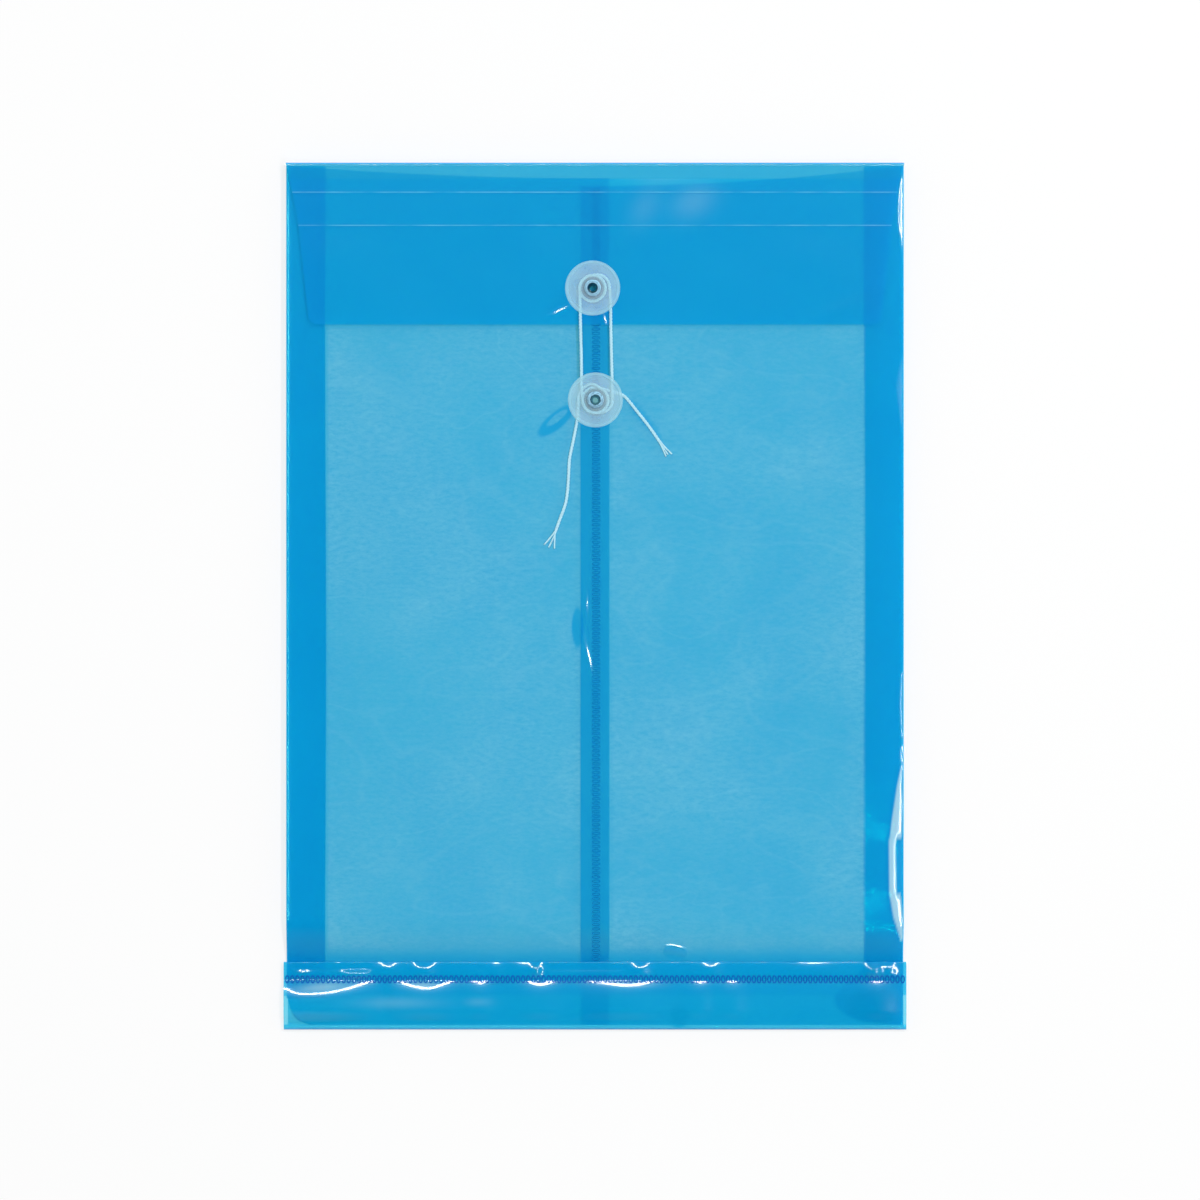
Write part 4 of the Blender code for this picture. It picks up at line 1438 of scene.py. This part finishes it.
@dataclass
class Button:
    """A string button: a frosted disc on a waisted hub, held by a nickel eyelet through the film."""

    place: ButtonPlace
    disc_finish: bpy.types.Material
    hub_finish: bpy.types.Material
    metal: bpy.types.Material
    rim_width: float = 1.1 * MM
    rim_rise: float = 0.3 * MM
    step_radius: float = 7.4 * MM
    step_depth: float = 0.12 * MM
    waist: float = 0.35 * MM
    plastic_bore: float = 2.4 * MM
    barrel: float = 2.1 * MM
    bore_at_top: float = 1.95 * MM
    bore_at_foot: float = 1.0 * MM
    wall: float = 0.3 * MM
    groove: float = 0.12 * MM
    rings: tuple[float, ...] = (2.85 * MM, 3.4 * MM)
    ring_width: float = 0.3 * MM
    ring_depth: float = 0.3 * MM

    def node_box(self, part: str) -> tuple[Vector, Vector]:
        """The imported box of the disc, hub or eyelet."""
        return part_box(f"{self.place.value[0]}_button_{part}")

    def centre(self) -> Vector:
        """The button's middle on its axis, at height 0."""
        low, high = self.node_box("disc")
        return Vector(((low.x + high.x) / 2, (low.y + high.y) / 2, 0))

    def turned(
        self, part: str, corners: list[Triple], steps: int = 5, thick_from: float = 1.0
    ) -> bpy.types.Object:
        """Turn one of the button's pieces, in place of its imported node.

        Args:
            part: disc, hub or eyelet.
            corners: The corners of its outline.
            steps: Points on each rounded corner, less one.
            thick_from: The radius from which it is thicker.

        Returns:
            The piece.
        """
        word, eyelet_body, disc_body = self.place.value
        finish = {"disc": self.disc_finish, "hub": self.hub_finish, "eyelet": self.metal}[part]
        profile = rounded(corners, steps)
        piece = turned_piece(f"{word}_{part}", profile, self.centre(), finish, part, thick_from)
        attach(piece, eyelet_body if part == "eyelet" else disc_body)
        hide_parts(f"{word}_button_{part}")
        return piece

    def build(self) -> list[bpy.types.Object]:
        """Build the disc, the hub and the eyelet."""
        return [self.disc(), self.hub(), self.eyelet()]

    def disc(self) -> bpy.types.Object:
        """Build the disc, thin in its dish and thick at its rim and middle.

        Returns:
            The disc.
        """
        low, high = self.node_box("disc")
        hub_low, hub_high = self.node_box("hub")
        radius, hub_radius = (high.x - low.x) / 2, (hub_high.x - hub_low.x) / 2
        top, foot, bore = high.z, low.z, self.plastic_bore
        dish = top - self.rim_rise
        step = dish - self.step_depth
        grooves = []
        for ring in self.rings:
            grooves += [(ring - self.ring_width / 2, top, 0.0), (ring, top - self.ring_depth, 0.0)]
            grooves.append((ring + self.ring_width / 2, top, 0.0))
        outline = [
            (bore, top, 0.1),
            *grooves,
            (hub_radius - 0.2 * MM, top, 0.2),
            (hub_radius + 0.3 * MM, dish, 0.2),
            (self.step_radius, dish, 0.1),
            (self.step_radius + 0.25 * MM, step, 0.1),
            (radius - self.rim_width - 0.25 * MM, step, 0.1),
            (radius - self.rim_width, top, 0.2),
            (radius - 0.05 * MM, top, 0.3),
            (radius, foot + 0.2 * MM, 0.2),
            (radius - 0.5 * MM, foot, 0.1),
            (bore, foot, 0.1),
        ]
        return self.turned("disc", outline, 3, radius - self.rim_width - 0.4 * MM)

    def hub(self) -> bpy.types.Object:
        """Build the hub that the string winds round, waisted so that the string stays on.

        Returns:
            The hub.
        """
        low, high = self.node_box("hub")
        radius, bore = (high.x - low.x) / 2, self.plastic_bore
        waist = (radius - self.waist, (low.z + high.z) / 2, 1.0)
        upper, lower = [(bore, high.z, 0.1), (radius, high.z, 0.2)], [(radius, low.z, 0.2), (bore, low.z, 0.1)]
        return self.turned("hub", [*upper, waist, *lower])

    def eyelet(self) -> bpy.types.Object:
        """Build the eyelet: a rolled flange on the disc, a barrel, and a curled flange under the film.

        Returns:
            The eyelet.
        """
        low, high = self.node_box("eyelet")
        flange, bore = (high.x - low.x) / 2, self.bore_at_top
        top, foot, sunk = high.z, low.z, high.z - self.groove
        outline = [
            (bore, top - 0.05 * MM, 0.1),
            (bore + 0.12 * MM, top, 0.06),
            (bore + 0.34 * MM, top, 0.08),
            (bore + 0.42 * MM, sunk, 0.06),
            (bore + 0.62 * MM, sunk, 0.06),
            (bore + 0.72 * MM, top - self.groove / 3, 0.06),
            (bore + 0.86 * MM, sunk, 0.06),
            (flange, sunk, 0.05),
            (flange, top - self.wall, 0.05),
            (self.barrel, top - self.wall, 0.0),
            (self.barrel, foot + self.wall, 0.0),
            (flange - 0.2 * MM, foot + self.wall, 0.0),
            (flange, foot + self.wall, 0.1),
            (flange - 0.4 * MM, foot, 0.2),
            (self.bore_at_foot, foot, 0.2),
            (self.bore_at_foot, foot + 1.0 * MM, 0.1),
        ]
        return self.turned("eyelet", outline)


@dataclass
class ClosureString:
    """The cotton string, wound round both hubs, with a frayed tail at each end.

    Its tails and runs are points in millimetres, with their height above the front.
    """

    yarn: bpy.types.Material
    flap_button: Vector
    pocket_button: Vector
    base_z: float
    seat_flap_z: float
    radius: float = 0.55 * MM
    self_gap: float = 0.5 * MM
    hub_radius: float = 4.0 * MM
    gap: float = 0.3 * MM
    points_per_turn: int = 24
    ply_radius: float = 0.3 * MM
    ply_offset: float = 0.3 * MM
    ply_sides: int = 8
    tip_radius: float = 0.27 * MM
    fray_points: int = 12
    twist_pitch: float = 3.6 * MM
    line_step: float = 0.42 * MM
    real_diameter: float = 1.15 * MM
    left_tail: tuple[Triple, ...] = (
        (-14.55, 26, 0.4), (-13.26, 29.6, 0.4), (-11.24, 35.2, 0.4), (-10.48, 39.8, 0.4), (-10.06, 45.5, 0.4),
        (-9.68, 52.1, 0.4), (-8.69, 57.2, 0.4), (-7.45, 63.3, 0.7), (-6.63, 68, 0.85),
    )
    left_run: tuple[Triple, ...] = (
        (-5.12, 80, 2.45), (-5.12, 85, 2.55), (-5.2, 91, 2.8), (-5.35, 98, 3.1), (-5.5, 104, 3.4),
        (-5.62, 110, 3.65),
    )
    right_run: tuple[Triple, ...] = (
        (5.9, 111, 2.15), (6, 104, 2.15), (6.15, 97, 2.25), (6.3, 90, 2.4), (6.45, 84, 2.45),
        (6.55, 79, 2.45),
    )
    right_tail: tuple[Triple, ...] = (
        (6.4, 77.9, 0.85), (10.67, 76.4, 0.85), (13.1, 74, 0.85), (15.8, 70.6, 0.85), (20.4, 64.8, 0.85),
        (24.8, 58.5, 0.85),
    )
    left_fray: tuple[Triple, ...] = ((-19.3, 19.7, 0.1), (-17.6, 18.6, 0.1), (-15.4, 18.2, 0.1))
    right_fray: tuple[Triple, ...] = ((27, 53.2, 0.7), (27.7, 53.9, 0.7), (29.2, 54.1, 0.7))

    def __post_init__(self) -> None:
        """Work out where the windings lie: the inner and the low one, and the step to the next."""
        self.inner, self.low = self.hub_radius + self.gap + self.radius, self.gap + self.radius
        self.pitch = 2 * self.radius + self.self_gap

    def swing(self, share: float, start: float, end: float) -> float:
        """An angle in radians that turns smoothly from start to end degrees as share goes from 0 to 1."""
        return math.radians(mix(start, end, smooth(share)))

    def left_strand_slot(self, degrees: float) -> tuple[float, float]:
        """Radius and height on the pocket's hub: high and close in, then out and down past the other strand."""
        angle = self.swing((degrees - 425) / 60, 90, 0)
        return self.inner + self.pitch * math.cos(angle), self.low + self.pitch * math.sin(angle)

    def right_strand_slot(self, degrees: float) -> tuple[float, float]:
        """Radius and height on the pocket's hub: in from outside and under the left strand."""
        angle = self.swing(-degrees / 80, 0, 90)
        return self.inner + self.pitch * math.cos(angle), self.low + self.pitch * (1 - math.sin(angle))

    def flap_hub_slot(self, degrees: float) -> tuple[float, float]:
        """Radius and height on the flap's hub: a high turn, a low turn under it, then out to the right."""
        drop, leave = self.swing((-20 - degrees) / 110, 0, 180), self.swing((-260 - degrees) / 90, 0, 90)
        return self.inner + self.pitch * math.sin(leave), self.low + self.pitch * (1 + math.cos(drop)) / 2

    def turn(
        self, button: Vector, start: float, end: float, slot: Callable[[float], tuple[float, float]]
    ) -> list[Vector]:
        """Points of a winding round a hub.

        Args:
            button: The foot of the button.
            start: The first angle in degrees.
            end: The last angle in degrees.
            slot: Gives the radius and height at each angle.

        Returns:
            The points.
        """
        points = []
        for degrees in spaced(start, end, 360 / self.points_per_turn):
            radius, height = slot(degrees)
            angle = math.radians(degrees)
            points.append(button + Vector((radius * math.cos(angle), radius * math.sin(angle), height)))
        return points

    def lifted(self, points: tuple[Triple, ...]) -> list[Vector]:
        """Points given above the front, at their real height, in metres."""
        return [Vector((x * MM, y * MM, self.base_z + z * MM)) for x, y, z in points]

    def route(self) -> list[Vector]:
        """The string's route from the end of its left tail to the end of its right tail.

        Returns:
            The route's points.
        """
        pocket = Vector((self.pocket_button.x, self.pocket_button.y, self.base_z))
        flap = Vector((self.flap_button.x, self.flap_button.y, self.seat_flap_z))
        return [
            *self.lifted(self.left_tail),
            *self.turn(pocket, 540, 180, self.left_strand_slot),
            *self.lifted(self.left_run),
            *self.turn(flap, 180, -360, self.flap_hub_slot),
            *self.lifted(self.right_run),
            *self.turn(pocket, 0, -287, self.right_strand_slot),
            *self.lifted(self.right_tail),
        ]

    def evened(self, route: list[Vector], spacing: float) -> list[Vector]:
        """A smooth curve through the route, with points at even spacing.

        Args:
            route: The route's points.
            spacing: The distance between two points of the curve.

        Returns:
            The curve's points.
        """
        ends = [2 * route[0] - route[1]] + route + [2 * route[-1] - route[-2]]
        fine = []
        # Each stretch is blended from four points in three steps, between the knots named by each step.
        steps = (((0, 1), (1, 2), (2, 3)), ((0, 2), (1, 3)), ((1, 2),))
        for four in zip(ends, ends[1:], ends[2:], ends[3:]):
            knots = [0.0]
            for a, b in zip(four, four[1:]):
                knots.append(knots[-1] + math.sqrt((b - a).length))
            for t in (mix(knots[1], knots[2], i / 12) for i in range(12)):
                blended = four
                for step in steps:
                    shares = [(t - knots[i]) / (knots[j] - knots[i]) for i, j in step]
                    blended = [a.lerp(b, share) for a, b, share in zip(blended, blended[1:], shares)]
                fine += blended
        fine.append(route[-1])
        lengths = [0.0]
        for a, b in zip(fine, fine[1:]):
            lengths.append(lengths[-1] + (b - a).length)
        points, at = [], 0
        for along in spaced(0.0, lengths[-1], spacing):
            while at < len(lengths) - 2 and lengths[at + 1] < along:
                at += 1
            share = (along - lengths[at]) / (lengths[at + 1] - lengths[at])
            points.append(fine[at].lerp(fine[at + 1], share))
        return points

    def along(self, line: list[Vector]) -> list[tuple[Vector, Vector]]:
        """Two directions square to a line at each of its points, carried along it without a twist.

        Args:
            line: The line's points.

        Returns:
            The two directions at each point.
        """
        normal, sides = Vector((0, 0, 1)), []
        for i in range(len(line)):
            way = (line[min(i + 1, len(line) - 1)] - line[max(i - 1, 0)]).normalized()
            normal = (normal - way * normal.dot(way)).normalized()
            sides.append((normal, way.cross(normal)))
        return sides

    def tube(self, mesh: Mesh, line: list[Vector], radii: list[float]) -> None:
        """Add a round tube along a line to a mesh, closed at both ends.

        Args:
            mesh: The mesh.
            line: The tube's middle line.
            radii: Its radius at each point.
        """
        sides, first = self.ply_sides, len(mesh.points)
        for here, radius, (normal, across) in zip(line, radii, self.along(line)):
            for k in range(sides):
                angle = 2 * math.pi * k / sides
                mesh.points.append(here + (normal * math.cos(angle) + across * math.sin(angle)) * radius)
        for i in range(len(line) - 1):
            for k in range(sides):
                a, b = first + i * sides + k, first + i * sides + (k + 1) % sides
                mesh.faces.append((a, b, b + sides, a + sides))
        last = first + (len(line) - 1) * sides
        mesh.faces.append(tuple(first + k for k in reversed(range(sides))))
        mesh.faces.append(tuple(last + k for k in range(sides)))

    def ply(self, line: list[Vector], number: int) -> list[Vector]:
        """One of the three plies, twisted round the string's line.

        Args:
            line: The string's middle line.
            number: Which ply, from 0 to 2.

        Returns:
            The ply's middle line.
        """
        travelled, middle = 0.0, []
        for i, (here, (normal, across)) in enumerate(zip(line, self.along(line))):
            travelled += (here - line[max(i - 1, 0)]).length
            angle = 2 * math.pi * (travelled / self.twist_pitch + number / 3)
            middle.append(here + (normal * math.cos(angle) + across * math.sin(angle)) * self.ply_offset)
        return middle

    def frayed_end(
        self, word: str, starts: list[Vector], way: Vector, tips: tuple[Triple, ...]
    ) -> bpy.types.Object:
        """Build the three loose ends of the plies at one end of the string.

        Args:
            word: left or right.
            starts: Where each ply leaves the twist.
            way: The string's direction there.
            tips: Where each ply ends.

        Returns:
            The frayed end.
        """
        mesh, count = Mesh(), self.fray_points
        shares = [i / count for i in range(count + 1)]
        for start, tip in zip(starts, self.lifted(tips)):
            bend = start + way * (tip - start).length * 0.22
            loose = [start]
            for t in shares[1:]:
                point = start * (1 - t) ** 2 + bend * (2 * t * (1 - t)) + tip * t**2
                point.z += 0.12 * MM * math.sin(7 * t)
                loose.append(point)
            self.tube(mesh, loose, [mix(self.ply_radius, self.tip_radius, t) for t in shares])
        piece = mesh.piece(f"{word}_frayed_end", self.yarn, "string")
        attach(piece, "flap")
        return piece

    def build(self) -> list[bpy.types.Object]:
        """Build the string.

        Returns:
            The string and its two frayed ends.
        """
        path = self.evened(self.route(), 2 * math.pi * self.inner / self.points_per_turn)
        line = self.evened(path, self.line_step)
        plies = [self.ply(line, number) for number in range(3)]
        mesh = Mesh()
        for middle in plies:
            self.tube(mesh, middle, [self.ply_radius] * len(middle))
        piece = mesh.piece("cotton_string", self.yarn, "string")
        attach(piece, "flap")
        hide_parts("string")
        left_way, right_way = (line[0] - line[3]).normalized(), (line[-1] - line[-4]).normalized()
        left = self.frayed_end("left", [ply[0] for ply in plies], left_way, self.left_fray)
        right = self.frayed_end("right", [ply[-1] for ply in plies], right_way, self.right_fray)
        return [piece, left, right]


@dataclass
class Studio:
    """The camera, the floor and the lights of a plain product shot from straight above."""

    photo_pixels: int = 1200
    pixel_size: float = 0.381 * MM
    middle_x_pixel: float = 595.0
    middle_y_pixel: float = 596.5
    camera_height: float = 2.6
    sensor: float = 36.0
    floor_size: float = 12.0
    floor_z: float = -0.1 * MM
    floor_colour: str = "#F7F8F8"
    floor_glow: float = 0.72
    sky_strength: float = 1.12
    sky: tuple[tuple[float, float], ...] = ((0.05, 1.0), (0.45, 0.5), (0.9, 0.02))
    strip_length: float = 2.2
    strip_width: float = 0.11
    strip_radiance: float = 38.0
    strips: tuple[tuple[str, Triple], ...] = (
        ("top_strip", (0.0, 0.78, 2.5)),
        ("right_strip", (0.85, 0.0, 2.5)),
    )

    def camera(self) -> None:
        """Make the camera, square above the folder, so that the frame is the photograph's."""
        data = bpy.data.cameras.new("camera")
        data.sensor_width = self.sensor
        data.lens = self.sensor * self.camera_height / (self.photo_pixels * self.pixel_size)
        data.dof.use_dof = False
        camera = bpy.data.objects.new("camera", data)
        centre = self.photo_pixels / 2
        x = (centre - self.middle_x_pixel) * self.pixel_size
        y = (self.middle_y_pixel - centre) * self.pixel_size
        camera.location = (x, y, self.camera_height)
        bpy.context.scene.collection.objects.link(camera)
        bpy.context.scene.camera = camera

    def floor(self) -> None:
        """Make the floor: matt white card, lifted to white for the eye but still taking shadows."""
        half, z = self.floor_size / 2, self.floor_z
        corners = [(-half, -half, z), (half, -half, z), (half, half, z), (-half, half, z)]
        mesh = bpy.data.meshes.new("floor")
        mesh.from_pydata(corners, [], [(0, 1, 2, 3)])
        material, tree = new_tree("matt_white_card")
        card = add_node(tree, "BsdfDiffuse", {"Color": linear(self.floor_colour)})
        white = add_node(tree, "Emission", {"Strength": 1.0})
        rays = add_node(tree, "LightPath", {}).outputs
        seen = rays["Is Camera Ray"]
        for ray in ("Is Glossy Ray", "Is Transmission Ray"):
            seen = add_node(tree, "Math", {"operation": "MAXIMUM", 0: seen, 1: rays[ray]})
        lifted = add_node(tree, "Math", {"operation": "MULTIPLY", 0: seen, 1: self.floor_glow})
        both = add_node(tree, "MixShader", {0: lifted, 1: card, 2: white})
        add_node(tree, "OutputMaterial", {"Surface": both})
        mesh.materials.append(material)
        floor = bpy.data.objects.new("floor", mesh)
        bpy.context.scene.collection.objects.link(floor)

    def world(self) -> None:
        """Make the room's light: pale at the horizon and dark overhead, where the camera hangs."""
        world = bpy.data.worlds.new("studio")
        world.use_nodes = True
        bpy.context.scene.world = world
        tree = world.node_tree
        tree.nodes.clear()
        way = add_node(tree, "TexCoord", {}).outputs["Generated"]
        ramp = add_node(tree, "ValToRGB", {0: add_node(tree, "SeparateXYZ", {0: way}).outputs["Z"]})
        steps = ramp.color_ramp.elements
        steps[1].position = self.sky[-1][0]
        steps[0].position = self.sky[0][0]
        steps.new(self.sky[1][0])
        for step, (_, grey) in zip(steps, self.sky):
            step.color = (grey, grey, grey, 1.0)
        light = add_node(tree, "Background", {"Color": ramp, "Strength": self.sky_strength})
        add_node(tree, "OutputWorld", {"Surface": light})

    def lights(self) -> None:
        """Hang two strip lights, one past the top of the folder and one past its right side."""
        area = self.strip_length * self.strip_width
        for name, place in self.strips:
            data = bpy.data.lights.new(name, "AREA")
            data.shape = "RECTANGLE"
            data.size = self.strip_length
            data.size_y = self.strip_width
            data.energy = math.pi * area * self.strip_radiance
            light = bpy.data.objects.new(name, data)
            light.location = place
            light.rotation_euler = Vector(place).to_track_quat("Z", "Y").to_euler()
            bpy.context.scene.collection.objects.link(light)

    def build(self) -> None:
        """Set up the whole studio."""
        self.camera()
        self.floor()
        self.world()
        self.lights()


@dataclass
class Folder:
    """The string file folder, from its sub-assemblies."""

    levels: Levels = field(default_factory=Levels.measured)

    def build(self) -> list[bpy.types.Object]:
        """Build every sub-assembly.

        Returns:
            All the folder's pieces.
        """
        at = self.levels
        scores = (at.first_score_y, at.second_score_y)
        # A weld is matt from the tool's teeth, and deeper blue where the sheets run into one.
        matt = {"roughness": 0.5, "halo": 0.0, "shine": 0.12}
        film, front_film, creased, pleated, hemmed, fused, lapped, disc, hub, nickel, cotton = (
            finish.material()
            for finish in (
                BluePvcFilm("calendered_blue_pvc_film"),
                BluePvcFilm("front_blue_pvc_film", haze=0.062),
                BluePvcFilm("scored_blue_pvc_film", "#50F4F0", haze=0.035, whitened_and_glinting_at=scores),
                BluePvcFilm("folded_blue_pvc_film", "#60FFFF", milky="#00C2FF"),
                BluePvcFilm("hemmed_blue_pvc_film", "#A8F8F4", milky="#00BEFF", haze=0.035),
                BluePvcFilm("high_frequency_welded_pvc", "#1F74C4", milky="#0060BC", body=0.85, **matt),
                BluePvcFilm("lap_welded_pvc", "#A8E8F0", milky="#0088CC", body=0.3, **matt),
                FrostedPolyethylene("moulded_frosted_polyethylene", painted_rim_glow="#ADDBE4"),
                FrostedPolyethylene("moulded_polyethylene_hub", 0.06, "#B4CFDC", "#D2E6F0"),
                NickelPlatedBrass("nickel_plated_brass"),
                TwistedCotton("twisted_bleached_cotton"),
            )
        )
        buttons = [Button(place, disc, hub, nickel) for place in ButtonPlace]
        flap_centre, pocket_centre = (button.centre() for button in buttons)
        front_top, flap_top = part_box("front_right_panel")[1].z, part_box("flap_panel")[1].z
        pieces = ClosureString(cotton, flap_centre, pocket_centre, front_top, flap_top).build()
        front = FrontFilm(at, front_film, pocket_centre)
        pieces += front.build()
        pieces += Gussets(at, pleated, front).build()
        pieces += Hem(at, hemmed, fused).build()
        pieces.append(Seam(at, lapped, front).build())
        pieces += BackAndFlap(at, film, creased, flap_centre).build()
        for button in buttons:
            pieces += button.build()
        return pieces


def main() -> None:
    """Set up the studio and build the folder."""
    logging.basicConfig(level=logging.INFO, format="%(name)s: %(message)s")
    bpy.context.scene.view_settings.view_transform = "Standard"
    bpy.context.scene.cycles.transparent_max_bounces = 24
    Studio().build()
    for piece in Folder().build():
        log.info("%s: %d faces", piece.name, len(piece.data.polygons))


if __name__ == "__main__":
    main()
